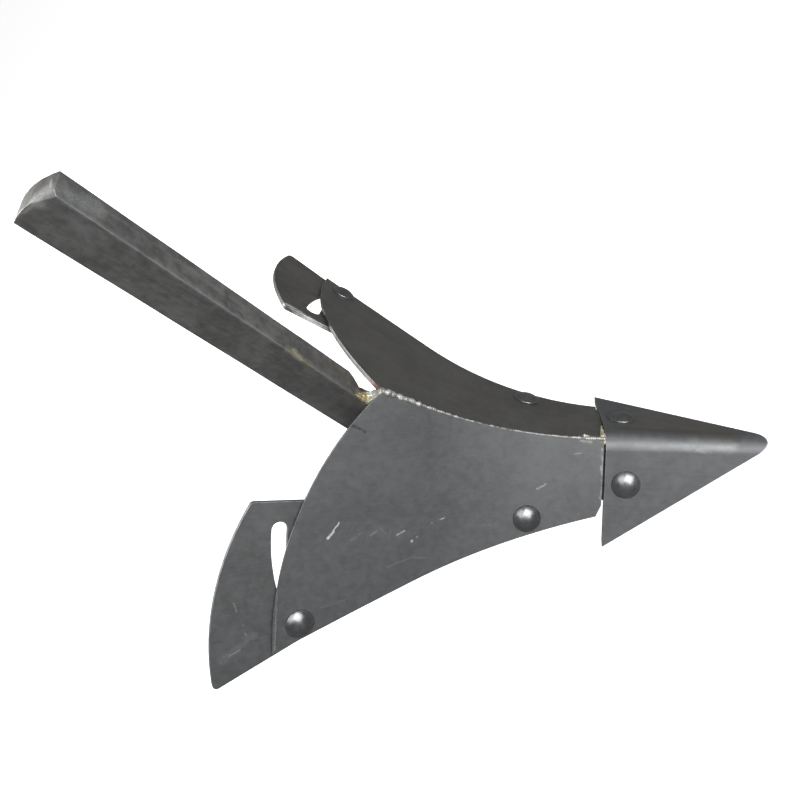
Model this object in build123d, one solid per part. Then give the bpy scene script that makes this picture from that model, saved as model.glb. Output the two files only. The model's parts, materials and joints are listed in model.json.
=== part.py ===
"""Ridging plough body: a shank, a V share, two rolled wings and two slotted extension wings.

Frame: +X forward (the way the share points), +Y to the left, +Z up along the shank. The
origin is on the shank's centreline, at the height where the tool bar's clamp holds it.
The XZ plane is the plane of symmetry. The right side is built and mirrored to the left.
"""

import os
from math import atan2, cos, degrees, pi, radians, sin, sqrt, tan

from build123d import *

# Shank: a flat bar held by the tool bar's clamp.
shank_width = 45.0  # along X
shank_thickness = 18.0  # along Y
shank_above = 87.5  # clamp point up to the middle of the rounded top end
shank_end_rise = 2.5  # how much lower the top end is at the front
shank_end_slope = 1.6  # how much lower the back is than the front
shank_facet_length = 20.5  # hammered facet on the right, along the top end
shank_facet_drop = 5.7  # how far the facet runs down the front edge
shank_facet_depth = 4.0  # how far the facet reaches across the top end
nose_drop = 370.0  # clamp point down to the foot of the ridge line
nose_ahead = 155.5  # shank centreline forward to the foot of the ridge line
shank_foot_height = 12.0  # the shank's lower end above the foot of the ridge line

# Wings: plates rolled to part of a cylinder, flat behind, mitred together on the ridge.
wing_thickness = 4.0
wing_sweep = 27.08  # degrees, straight rulings swept back from the lateral axis
wing_fall = 28.25  # degrees, rulings falling outwards
roll_radius = 299.0
roll_start_slope = 39.65  # degrees, slope of the rolled section at the ridge's foot
roll_end_slope = 70.15  # degrees, slope of the flat rear part
root_gap = 0.6  # between the two wings along the ridge
wing_front_width = 69.5  # ridge to the lower edge at the front, along the ruling
wing_edge_slope = 0.438  # lower edge: outward run for each unit of length
wing_edge_hollow = 2.6  # how far the lower edge bows in at its middle
wing_length = 281.0  # along the roll, front to the rear lower corner
wing_ridge_length = 204.0  # along the roll, front to the top of the ridge
share_gap = 1.3  # between the share and the wings

# Share: a plate bent to a V, cut off by the plane it lies on.
share_thickness = 5.0
share_ridge_slope = 31.4  # degrees below horizontal
share_ridge_length = 134.7
share_half_angle = 48.2  # degrees, from the symmetry plane to each flange
share_rear_width = 103.5  # crest to the rear corner, across the flange
share_bend_radius = 16.0  # outside
share_bolt_back = 18.2  # from the rear edge
share_bolt_out = 40.5  # from the crest, across the flange

# Frog: the V bracket inside, that the share and the wings are bolted to.
frog_thickness = 6.0
frog_past_share_bolt = 33.8  # flat nose, ahead of the share's bolt
frog_beside_share_bolt = 16.5  # flat nose, outside the share's bolt
frog_overlap = 16.0  # the flat nose run back under the rolled part
frog_past_wing_bolt = 38.0  # rolled part, behind the wing's bolt
frog_beside_wing_bolt = 11.0  # rolled part, outside the wing's bolt
frog_shoulder = 22.0  # half the rolled part's widest stretch
frog_front_inset = 10.5  # rolled part, inside the wing's front corner
frog_edge_inset = 6.0  # inside the share's lower edge

# Web: the upright plate between the ridge and the shank.
web_thickness = 10.0
web_weld_leg = 5.0
head_weld_height = 34.0  # below the top of the nose
head_weld_rise = 2.5  # above the top of the nose, against the shank

# Fasteners: M10 carriage bolts with nuts and washers.
bolt_radius = 5.0
bolt_head_radius = 12.4
bolt_head_height = 5.4
bolt_rim_height = 0.9
bolt_neck_side = 2 * bolt_radius
neck_clearance = 0.2  # each side of the square neck
hole_clearance = 0.5  # round holes, on the radius
thread_clearance = 0.05  # between a bolt and its nut, on the radius
bolt_end = 3.5  # thread past the nut
nut_across_flats = 17.0
nut_height = 8.0
washer_radius = 10.5
washer_thickness = 2.0
spring_washer_radius = 9.2
spring_washer_thickness = 2.5
spring_washer_gap = 1.8
clamp_washer_radius = 15.0
clamp_washer_thickness = 3.0
wing_bolt_along = 60.0  # from the wing's front, along the roll
wing_bolt_inset = 16.8  # inside the wing's lower edge, along the ruling
clamp_bolt_inset_rear = 21.5  # from the wing's rear end, along the roll
clamp_bolt_inset = 15.7  # inside the wing's lower edge, along the ruling

# Extension wings: flat plates behind the wings' rear corners, clamped through a curved slot.
extension_thickness = 4.0
slide_gap = 0.2  # between the extension and what it slides on
slot_width = 13.0
slot_radius = 160.0
slot_sweep = 30.0  # degrees of the slot's arc, centre to centre of its ends
slot_end_slack = 0.4  # degrees past each end of the travel
slot_lean = 30.0  # degrees, from the roll's direction to the bolt, about the slot's centre
extension_arc_radius = 230.0
extension_arc_ahead = 156.8  # centre of the outer edge's arc, from the clamp bolt
extension_arc_beyond = 3.9
extension_top = 105.0  # clamp bolt to the top edge, a line along the roll
extension_low = 55.0  # clamp bolt to the lower corner
extension_low_slope = 0.546  # lower edge: outward run for each unit of length
extension_inner_top = 9.5  # hidden inner edge, ahead of the clamp bolt
extension_inner_low = 21.5
extension_corner_radius = 4.0

wing_bolt_out = wing_front_width + wing_edge_slope * wing_bolt_along - wing_bolt_inset
clamp_bolt_along = wing_length - clamp_bolt_inset_rear
clamp_bolt_out = wing_front_width + wing_edge_slope * clamp_bolt_along - clamp_bolt_inset

LEFT = Plane.XZ
ridge_foot = Vector(nose_ahead, 0, -nose_drop)

sweep_sin = sin(radians(wing_sweep))
sweep_cos = cos(radians(wing_sweep))
fall_sin = sin(radians(wing_fall))
fall_cos = cos(radians(wing_fall))
ruling = Vector(-fall_cos * sweep_sin, -fall_cos * sweep_cos, -fall_sin)
section_plane = Plane(origin=ridge_foot, x_dir=(sweep_cos, -sweep_sin, 0), z_dir=ruling)
start_slope = radians(roll_start_slope)
end_slope = radians(roll_end_slope)
roll_length = roll_radius * (end_slope - start_slope)


def slope_at(along):
    """Slope of the rolled section at a length along it."""
    return start_slope + min(max(along, 0.0), roll_length) / roll_radius


def section_point(along, depth=0.0):
    """Point of the section, `depth` behind the working face, in the section plane."""
    slope = slope_at(along)
    run = along - min(max(along, 0.0), roll_length)
    radius = roll_radius + depth
    x = roll_radius * sin(start_slope) - radius * sin(slope) - run * cos(slope)
    y = roll_radius * cos(start_slope) - radius * cos(slope) + run * sin(slope)
    return x, y


def on_wing(along, out, depth=0.0):
    """Point of the right wing: along the roll, out along the ruling, behind the face."""
    x, y = section_point(along, depth)
    return section_plane.from_local_coords(Vector(x, y, out))


def frame_at(along, out, depth=0.0):
    """Plane on the right wing: X along the roll, Y along the ruling, Z off the face."""
    slope = slope_at(along)
    up = section_plane.y_dir
    ahead = section_plane.x_dir
    normal = up * cos(slope) + ahead * sin(slope)
    run = up * sin(slope) - ahead * cos(slope)
    return Plane(origin=on_wing(along, out, depth), x_dir=run, z_dir=normal)


def ridge_out(along, depth=0.0):
    """Where the ruling at this length crosses the symmetry plane."""
    return on_wing(along, 0, depth).Y / fall_cos / sweep_cos


def rolled_plate(front, back, start, end, inner, outer):
    """Plate between two depths, along the roll from start to end, along the ruling."""
    middle = roll_length / 2
    with BuildSketch() as section:
        with BuildLine():
            Line(section_point(start, front), section_point(0, front))
            ThreePointArc(
                section_point(0, front),
                section_point(middle, front),
                section_point(roll_length, front),
            )
            Line(section_point(roll_length, front), section_point(end, front))
            Line(section_point(end, front), section_point(end, back))
            Line(section_point(end, back), section_point(roll_length, back))
            ThreePointArc(
                section_point(roll_length, back),
                section_point(middle, back),
                section_point(0, back),
            )
            Line(section_point(0, back), section_point(start, back))
            Line(section_point(start, back), section_point(start, front))
        make_face()
    placed = section_plane.offset(inner) * section.sketch
    return extrude(placed, amount=outer - inner)


chord_plane = frame_at(roll_length / 2, 0)


def blank_point(along, out):
    """Flat place of a blank's point, on the plane that the outline is cut from."""
    local = chord_plane.to_local_coords(on_wing(along, out))
    return local.X, local.Y


def blank_cutter(edges):
    """Prism through the rolled plate, from a closed chain of blank edges."""
    curves = []
    for points in edges:
        flat = [blank_point(*point) for point in points]
        curves.append(Line(*flat) if len(flat) == 2 else Spline(*flat))
    face = make_face(curves)
    return extrude(chord_plane * face, amount=160, both=True)


def straight(start, end, bow=0.0, count=6):
    """Points of an edge of the blank, bowed sideways at its middle."""
    points = []
    for i in range(count + 1):
        k = i / count
        sag = bow * 4 * k * (1 - k)
        along = start[0] + (end[0] - start[0]) * k
        out = start[1] + (end[1] - start[1]) * k - sag
        points.append((along, out))
    return points


def arc_through(start, via, end, count=8):
    """Points of a circular edge of the blank."""
    arc = ThreePointArc(start, via, end)
    return [((arc @ (i / count)).X, (arc @ (i / count)).Y) for i in range(count + 1)]


def lower_edge_out(along):
    """Where the wing's lower edge lies, before its hollow."""
    return wing_front_width + wing_edge_slope * along


def right_side_of(shape, gap):
    """The part of a shape on the right of the symmetry plane, less half the gap."""
    keep = Pos(0, -600 - gap / 2, 0) * Box(2400, 1200, 2400)
    return shape & keep


def front_edge(along_at_ridge, out):
    """The wing's front edge runs beside the share's square rear edge."""
    return along_at_ridge - 0.085 * out


def build_wing():
    """Right wing, with square holes for its two bolts."""
    plate = rolled_plate(0, wing_thickness, -30, wing_length + 20, -90, 260)
    front_low = (front_edge(share_gap, wing_front_width), wing_front_width)
    front_top = (front_edge(share_gap, -40), -40)
    rear_low = (wing_length, lower_edge_out(wing_length))
    rear_top = (wing_length + 1.5, rear_low[1] - 28)
    ridge_top = (wing_ridge_length, ridge_out(wing_ridge_length))
    shoulder = (wing_ridge_length + 59, ridge_top[1] + 91)
    past_top = (wing_ridge_length - 12, ridge_top[1] - 16)
    edges = [
        [front_top, front_low],
        straight(front_low, rear_low, wing_edge_hollow),
        [rear_low, rear_top],
        arc_through(rear_top, shoulder, ridge_top),
        [ridge_top, past_top],
        [past_top, front_top],
    ]
    wing = right_side_of(plate & blank_cutter(edges), root_gap)
    for along, out in ((wing_bolt_along, wing_bolt_out), (clamp_bolt_along, clamp_bolt_out)):
        wing -= frame_at(along, out) * square_hole()
    return wing


def square_hole():
    """Cutter for a carriage bolt's neck."""
    side = bolt_neck_side + 2 * neck_clearance
    return Box(side, side, 40)


def round_hole():
    """Cutter for a bolt's shank."""
    return Cylinder(bolt_radius + hole_clearance, 60)


share_slope = radians(share_ridge_slope)
half_angle = radians(share_half_angle)
crest_recess = share_bend_radius * (1 / sin(half_angle) - 1)
share_plane = Plane(
    origin=ridge_foot,
    x_dir=(0, -1, 0),
    z_dir=(cos(share_slope), 0, -sin(share_slope)),
)
share_rear_drop = share_rear_width * cos(half_angle)


def bent_section(depth, thickness, width, outer_radius):
    """V section: `depth` inside the share's outer face, flanges `width` from the crest."""
    apex = depth / sin(half_angle) - crest_recess
    reach = width + crest_recess * cos(half_angle) - depth / tan(half_angle)
    across = (sin(half_angle), cos(half_angle))
    inward = (-cos(half_angle), sin(half_angle))
    tip = (reach * across[0], apex + reach * across[1])
    back = (tip[0] + thickness * inward[0], tip[1] + thickness * inward[1])
    inner = apex + thickness / sin(half_angle)
    points = [(0, apex), tip, back, (0, inner), (-back[0], back[1]), (-tip[0], tip[1])]
    section = make_face(Polyline(*points, close=True))
    middle = section.vertices().filter_by(lambda v: abs(v.X) < 1e-6).sort_by(Axis.Y)
    section = fillet(middle[0], outer_radius)
    middle = section.vertices().filter_by(lambda v: abs(v.X) < 1e-6).sort_by(Axis.Y)
    inner_radius = outer_radius - thickness
    return fillet(middle[-1], inner_radius) if inner_radius > 0.5 else section


def below_share(inset):
    """Block under the plane through the share's point and its two rear corners."""
    drop = share_rear_drop - crest_recess
    tilt = atan2(drop, share_ridge_length)
    lean = share_slope - tilt
    point = share_plane.from_local_coords(Vector(0, 0, share_ridge_length))
    bottom = Plane(origin=point, x_dir=(cos(lean), 0, -sin(lean)), z_dir=(sin(lean), 0, cos(lean)))
    return bottom * Pos(0, 0, inset - 100) * Box(800, 600, 200)


def share_bolt_frame(side_depth=0.0):
    """Plane on the share's right flange, at its bolt."""
    out = share_bolt_out + crest_recess * cos(half_angle)
    x = out * sin(half_angle)
    y = out * cos(half_angle) - crest_recess
    origin = share_plane.from_local_coords(Vector(x, y, share_bolt_back))
    normal = share_plane.x_dir * cos(half_angle) - share_plane.y_dir * sin(half_angle)
    frame = Plane(origin=origin, x_dir=share_plane.z_dir, z_dir=normal)
    return frame.offset(-side_depth)


def both_sides(cutter):
    """A right-hand cutter and its mirror image."""
    return cutter + mirror(cutter, about=LEFT)


def build_share():
    """Bent share, with square holes for its two bolts."""
    section = bent_section(0, share_thickness, share_rear_width + 40, share_bend_radius)
    share = extrude(share_plane * section, amount=share_ridge_length + 30)
    share -= below_share(0)
    return share - both_sides(share_bolt_frame() * square_hole())


def build_frog():
    """V bracket: a flat nose under the share, rolled flanges behind the wings."""
    nose_radius = share_bend_radius - share_thickness + 2.0
    width = share_bolt_out + frog_beside_share_bolt
    section = bent_section(share_thickness, frog_thickness, width, nose_radius)
    nose = extrude(share_plane * section, amount=share_bolt_back + frog_past_share_bolt)
    nose -= below_share(frog_edge_inset)
    tail = extrude(share_plane * section, amount=-frog_overlap)
    nose += tail - outside_wings(wing_thickness + 0.5)
    back = wing_thickness + frog_thickness
    plate = rolled_plate(wing_thickness, back, -30, wing_length, -60, 160)
    front_width = wing_front_width - frog_front_inset
    rear_width = wing_bolt_out + frog_beside_wing_bolt
    length = wing_bolt_along + frog_past_wing_bolt
    corners = [
        (front_edge(share_gap, -40), -40),
        (front_edge(share_gap, front_width), front_width),
        (wing_bolt_along - frog_shoulder / 3, rear_width),
        (wing_bolt_along + frog_shoulder, rear_width),
        (length, front_width),
        (length, -50),
    ]
    edges = [[corners[i - 1], corners[i]] for i in range(len(corners))]
    flange = right_side_of(plate & blank_cutter(edges), 0)
    flange -= frame_at(wing_bolt_along, wing_bolt_out) * round_hole()
    frog = nose + flange + mirror(flange, about=LEFT)
    return frog - both_sides(share_bolt_frame() * round_hole())


def outside_wings(depth):
    """Everything in front of the wings down to a depth, on both sides."""
    block = rolled_plate(-80, depth, -80, wing_length, -160, 160)
    return both_sides(block)


def build_shank():
    """Flat bar with a rounded top end, hammered at its right front corner."""
    half = shank_width / 2
    foot = shank_foot_height - nose_drop
    shoulder = shank_above - shank_end_rise
    back = shoulder - shank_end_slope
    sides = Polyline((half, shoulder), (half, foot), (-half, foot), (-half, back))
    end = ThreePointArc((-half, back), (0, shank_above), (half, shoulder))
    bar = extrude(Plane.XZ * make_face(sides + end), amount=shank_thickness / 2, both=True)
    side = -shank_thickness / 2
    fade_out = Vector(half - shank_facet_length, side, shank_above)
    low_end = Vector(half, side, shoulder - shank_facet_drop / 2)
    inner = Vector(half, side + shank_facet_depth, shoulder)
    along = low_end - fade_out
    facet = Plane(origin=low_end, x_dir=along, z_dir=along.cross(inner - fade_out))
    return bar - facet * Pos(0, 0, 25) * Box(200, 200, 50)


def build_web(frog):
    """Upright plate from the inside of the ridge to the shank's front face."""
    front = shank_width / 2
    low = shank_foot_height - nose_drop
    top = ridge_top_point()
    shape = [
        (front, low + 2),
        (front, top.Z - 2),
        (top.X + 4, top.Z - 2),
        (nose_ahead + 20, 20 - nose_drop),
        (nose_ahead - 24, -16 - nose_drop),
    ]
    flat = make_face(Polyline(*shape, close=True))
    plate = extrude(Plane.XZ * flat, amount=web_thickness / 2, both=True)
    web = plate - outside_wings(wing_thickness) - frog
    return web.solids().sort_by(SortBy.VOLUME)[-1]


def ridge_point(along, depth=0.0):
    """Point of the ridge line, `depth` behind both working faces."""
    return on_wing(along, ridge_out(along, depth), depth)


def ridge_top_point():
    """Upper end of the ridge line."""
    return ridge_point(wing_ridge_length)


def build_nose_weld(wings):
    """Bead along the ridge, seated on both wings' mitred edges."""
    steps = 8
    first = share_gap + 1.5
    last = wing_ridge_length - 2.0
    points = [ridge_point(first + (last - first) * i / steps, 1.0) for i in range(steps + 1)]
    path = Spline(*points)
    profile = Plane(origin=path @ 0, z_dir=path % 0) * Circle(3.0)
    bead = sweep(profile, path=path)
    for wing in wings:
        bead -= wing
    return bead.solids().sort_by(SortBy.VOLUME)[-1]


def build_head_weld(solids):
    """Built-up weld between the shank's front face and the top of the nose."""
    front = shank_width / 2
    top = ridge_top_point()
    half = shank_thickness / 2 - 1
    shape = [
        (front, top.Z + head_weld_rise),
        (front, top.Z - head_weld_height),
        (top.X + 2, top.Z - head_weld_height),
        (top.X - 2, top.Z - 1),
    ]
    flat = make_face(Polyline(*shape, close=True))
    weld = extrude(Plane.XZ * flat, amount=half, both=True) - outside_wings(wing_thickness)
    for solid in solids:
        weld -= solid
    return weld.solids().sort_by(SortBy.VOLUME)[-1]


def build_web_weld():
    """Fillet weld between the shank's front face and the web's right side."""
    front = shank_width / 2
    side = -web_thickness / 2
    low = shank_foot_height - nose_drop + 6
    high = ridge_top_point().Z - head_weld_height - 2
    leg = web_weld_leg
    corner = make_face(Polyline((front, side), (front + leg, side), (front, side - leg), close=True))
    return extrude(Pos(0, 0, low) * corner, amount=high - low)


def carriage_bolt(neck, length):
    """Carriage bolt seated at Z=0, its domed head above and its shank below."""
    rise = bolt_head_height - bolt_rim_height
    dome_radius = (bolt_head_radius**2 + rise**2) / (2 * rise)
    dome = Pos(0, 0, bolt_head_height - dome_radius) * Sphere(dome_radius)
    head = Pos(0, 0, bolt_head_height / 2) * Cylinder(bolt_head_radius, bolt_head_height)
    head = head & dome
    square = Pos(0, 0, -neck / 2) * Box(bolt_neck_side, bolt_neck_side, neck)
    rod = Pos(0, 0, -length / 2) * Cylinder(bolt_radius, length)
    rod = chamfer(rod.edges().filter_by(GeomType.CIRCLE).sort_by(Axis.Z)[0], 1.0)
    return head + square + rod


def hex_nut():
    """Nut with its upper face at Z=0 and chamfered corners, the bolt's axis along Z."""
    across_corners = nut_across_flats / cos(pi / 6)
    blank = extrude(RegularPolygon(nut_across_flats / 2, 6, major_radius=False), amount=-nut_height)
    cone = Pos(0, 0, -nut_height / 2) * Cylinder(across_corners / 2, nut_height)
    cone = chamfer(cone.edges(), 0.9, 1.3)
    return (blank & cone) - Cylinder(bolt_radius + thread_clearance, 40)


def flat_washer(radius, thickness):
    """Washer with its upper face at Z=0."""
    ring = Cylinder(radius, thickness) - Cylinder(bolt_radius + hole_clearance, 20)
    return Pos(0, 0, -thickness / 2) * ring


def spring_washer():
    """Split washer with its upper face at Z=0."""
    ring = flat_washer(spring_washer_radius, spring_washer_thickness)
    return ring - Rot(0, 0, 20) * Pos(10, 0, 0) * Box(20, spring_washer_gap, 20)


def fastener(name, frame, neck, grip, washer_size, lift=0.0, slack=0.0):
    """One carriage bolt with its washers and nut, named for the side's suffix."""
    radius, thickness = washer_size
    under_washer = grip + slack + thickness
    under_spring = under_washer + spring_washer_thickness
    length = under_spring + nut_height + bolt_end + lift
    parts = {
        "bolt": Pos(0, 0, lift) * carriage_bolt(neck + lift, length),
        "washer": Pos(0, 0, -grip - slack) * flat_washer(radius, thickness),
        "spring_washer": Pos(0, 0, -under_washer) * spring_washer(),
        "nut": Pos(0, 0, -under_spring) * hex_nut(),
    }
    return {f"{name}_{key}": frame * shape for key, shape in parts.items()}


clamp_frame = frame_at(clamp_bolt_along, clamp_bolt_out)


def slot_centre():
    """Centre of the slot's arc in the clamp bolt's plane."""
    lean = radians(slot_lean)
    return -slot_radius * cos(lean), -slot_radius * sin(lean)


def slot_face():
    """Curved slot from the bolt, at its lower end, towards the ridge."""
    centre = slot_centre()
    first = radians(slot_lean + slot_end_slack)
    last = radians(slot_lean - slot_sweep - slot_end_slack)
    half = slot_width / 2

    def at(radius, angle):
        return centre[0] + radius * cos(angle), centre[1] + radius * sin(angle)

    middle = (first + last) / 2
    cap = half / slot_radius
    with BuildSketch() as slot:
        with BuildLine():
            ThreePointArc(
                at(slot_radius + half, last),
                at(slot_radius + half, middle),
                at(slot_radius + half, first),
            )
            ThreePointArc(
                at(slot_radius + half, first),
                at(slot_radius, first + cap),
                at(slot_radius - half, first),
            )
            ThreePointArc(
                at(slot_radius - half, first),
                at(slot_radius - half, middle),
                at(slot_radius - half, last),
            )
            ThreePointArc(
                at(slot_radius - half, last),
                at(slot_radius, last - cap),
                at(slot_radius + half, last),
            )
        make_face()
    return slot.sketch


def outer_arc_along(beyond):
    """Where the extension's outer arc lies, from the clamp bolt."""
    rise = beyond - extension_arc_beyond
    return sqrt(extension_arc_radius**2 - rise**2) - extension_arc_ahead


def build_extension():
    """Right extension wing, flat, with its curved slot."""
    top_outer = (outer_arc_along(-extension_top), -extension_top)
    low_outer = (outer_arc_along(extension_low), extension_low)
    middle = (extension_low - extension_top) / 2
    bulge = (outer_arc_along(middle), middle)
    run = low_outer[0] + extension_inner_low
    low_inner = (-extension_inner_low, extension_low - extension_low_slope * run)
    top_inner = (-extension_inner_top, -extension_top)
    with BuildSketch() as sketch:
        with BuildLine():
            Line(top_inner, top_outer)
            ThreePointArc(top_outer, bulge, low_outer)
            Line(low_outer, low_inner)
            Line(low_inner, top_inner)
        make_face()
        fillet(sketch.vertices(), extension_corner_radius)
        add(slot_face(), mode=Mode.SUBTRACT)
    depth = wing_thickness + slide_gap
    face = clamp_frame.offset(-depth) * sketch.sketch
    return extrude(face, amount=-extension_thickness)


def build_fasteners():
    """The three fasteners of the right side."""
    washer = (washer_radius, washer_thickness)
    big = (clamp_washer_radius, clamp_washer_thickness)
    wing_grip = wing_thickness + frog_thickness
    seat = bolt_head_radius**2 / (2 * roll_radius) + 0.02
    clamp_grip = wing_thickness + extension_thickness
    wing_frame = frame_at(wing_bolt_along, wing_bolt_out)
    share_grip = share_thickness + frog_thickness
    parts = fastener("share", share_bolt_frame(), share_thickness, share_grip, washer)
    neck = wing_thickness - 0.3
    parts |= fastener("wing", wing_frame, neck, wing_grip, washer, lift=seat)
    slack = 2 * slide_gap
    parts |= fastener("clamp", clamp_frame, wing_thickness, clamp_grip, big, slack=slack)
    return parts


def build_all():
    """Every node of the plough body, by name."""
    wing = build_wing()
    wings = [wing, mirror(wing, about=LEFT)]
    frog = build_frog()
    web = build_web(frog)
    shank = build_shank()
    nose_weld = build_nose_weld(wings)
    head_weld = build_head_weld([web, nose_weld, *wings])
    nodes = {
        "shank": shank,
        "web": web,
        "frog": frog,
        "share": build_share(),
        "nose_weld": nose_weld,
        "head_weld": head_weld,
    }
    sided = {"wing": wing, "extension": build_extension(), "web_weld": build_web_weld()}
    sided |= build_fasteners()
    for name, shape in sided.items():
        nodes[f"{name}_right"] = shape
        nodes[f"{name}_left"] = mirror(shape, about=LEFT)
    return nodes


def print_joints():
    """Positions and axes of the joints and mounts, in metres."""
    centre = clamp_frame.from_local_coords(Vector(*slot_centre(), 0))
    for name, point in (("clamp bolt", clamp_frame.origin), ("slot centre", centre)):
        print(name, [round(v / 1000, 6) for v in tuple(point)])
    print("axis", [round(v, 6) for v in tuple(clamp_frame.z_dir)])


def main():
    """Write one STEP file for each node."""
    os.makedirs("parts", exist_ok=True)
    for name, shape in build_all().items():
        export_step(shape, f"parts/{name}.step")
    print_joints()


main()
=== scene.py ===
"""Looks of a ridging plough body: rolled wings, bent share and clamped extension wings.

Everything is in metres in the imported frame: X forward, Y left, Z up along the shank.
"""

import json
import logging
import math
from dataclasses import dataclass, replace
from enum import Enum
from typing import Sequence

import bmesh
import bpy
import numpy as np
from mathutils import Matrix, Vector, noise


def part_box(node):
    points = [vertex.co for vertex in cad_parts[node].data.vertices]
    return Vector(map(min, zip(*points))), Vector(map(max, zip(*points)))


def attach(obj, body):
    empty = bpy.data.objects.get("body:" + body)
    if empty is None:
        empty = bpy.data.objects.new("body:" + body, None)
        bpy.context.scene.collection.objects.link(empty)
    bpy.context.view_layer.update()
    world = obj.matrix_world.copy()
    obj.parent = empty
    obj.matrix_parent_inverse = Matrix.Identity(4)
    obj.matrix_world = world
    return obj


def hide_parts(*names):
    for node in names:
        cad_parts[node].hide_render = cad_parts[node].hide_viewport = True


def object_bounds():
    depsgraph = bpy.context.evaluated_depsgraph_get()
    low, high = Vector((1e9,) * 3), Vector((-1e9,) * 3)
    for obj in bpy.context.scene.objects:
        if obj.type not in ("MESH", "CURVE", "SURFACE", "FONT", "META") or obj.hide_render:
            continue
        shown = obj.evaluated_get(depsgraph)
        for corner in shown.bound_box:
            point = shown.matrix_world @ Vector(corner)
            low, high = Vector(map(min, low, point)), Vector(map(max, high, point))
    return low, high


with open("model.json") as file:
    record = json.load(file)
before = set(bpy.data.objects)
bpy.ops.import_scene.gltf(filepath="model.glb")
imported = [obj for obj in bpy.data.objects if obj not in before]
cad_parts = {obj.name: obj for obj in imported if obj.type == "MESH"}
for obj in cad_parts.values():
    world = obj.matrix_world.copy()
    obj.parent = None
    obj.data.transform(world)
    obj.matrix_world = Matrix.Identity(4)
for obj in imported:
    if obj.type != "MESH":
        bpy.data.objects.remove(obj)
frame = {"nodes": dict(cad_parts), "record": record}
CAD_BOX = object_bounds()
LOG = logging.getLogger("plough")

Colour = tuple[float, float, float]
Point = tuple[float, float, float]

MERGE_DISTANCE = 2e-6


class Side(Enum):
    """The two sides of the plough body, and the sign of Y there."""

    RIGHT = "right"
    LEFT = "left"

    @property
    def sign(self) -> float:
        """Sign of Y on this side."""
        return -1.0 if self is Side.RIGHT else 1.0


class Slot(Enum):
    """Material slots of the record."""

    SHANK = "shank_steel"
    WING = "wing_steel"
    SHARE = "share_steel"
    BRACKET = "bracket_steel"
    FASTENER = "fastener_steel"
    WELD = "weld_metal"


# Tinted marks only colour the surface, and cut-in marks also lower it. Both kinds carry painted
# highlights and painted shade as well as real marks.
class MarkKind(Enum):
    """What a placed mark does to the surface."""

    SCRATCH = "scratch"
    STAIN = "stain"


# ---------------------------------------------------------------------------
# Finishes
# ---------------------------------------------------------------------------


@dataclass(frozen=True)
class Mark:
    """A mark along a straight line: a scratch, a rubbed patch, a heat colour, a painted highlight,
    painted shade and the like.

    Attributes:
        start: One end of the line.
        end: The other end; the same point makes a round patch.
        width: Distance from the line at which the mark has faded out.
        colour: Colour of the mark.
        strength: Share of the surface colour it covers.
        kind: Whether the mark is cut in or only colours the surface.
        breakup: How much of it is broken into patches, from 0 to 1.
    """

    start: Point
    end: Point
    width: float
    colour: Colour
    strength: float
    kind: MarkKind = MarkKind.SCRATCH
    breakup: float = 0.5


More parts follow.
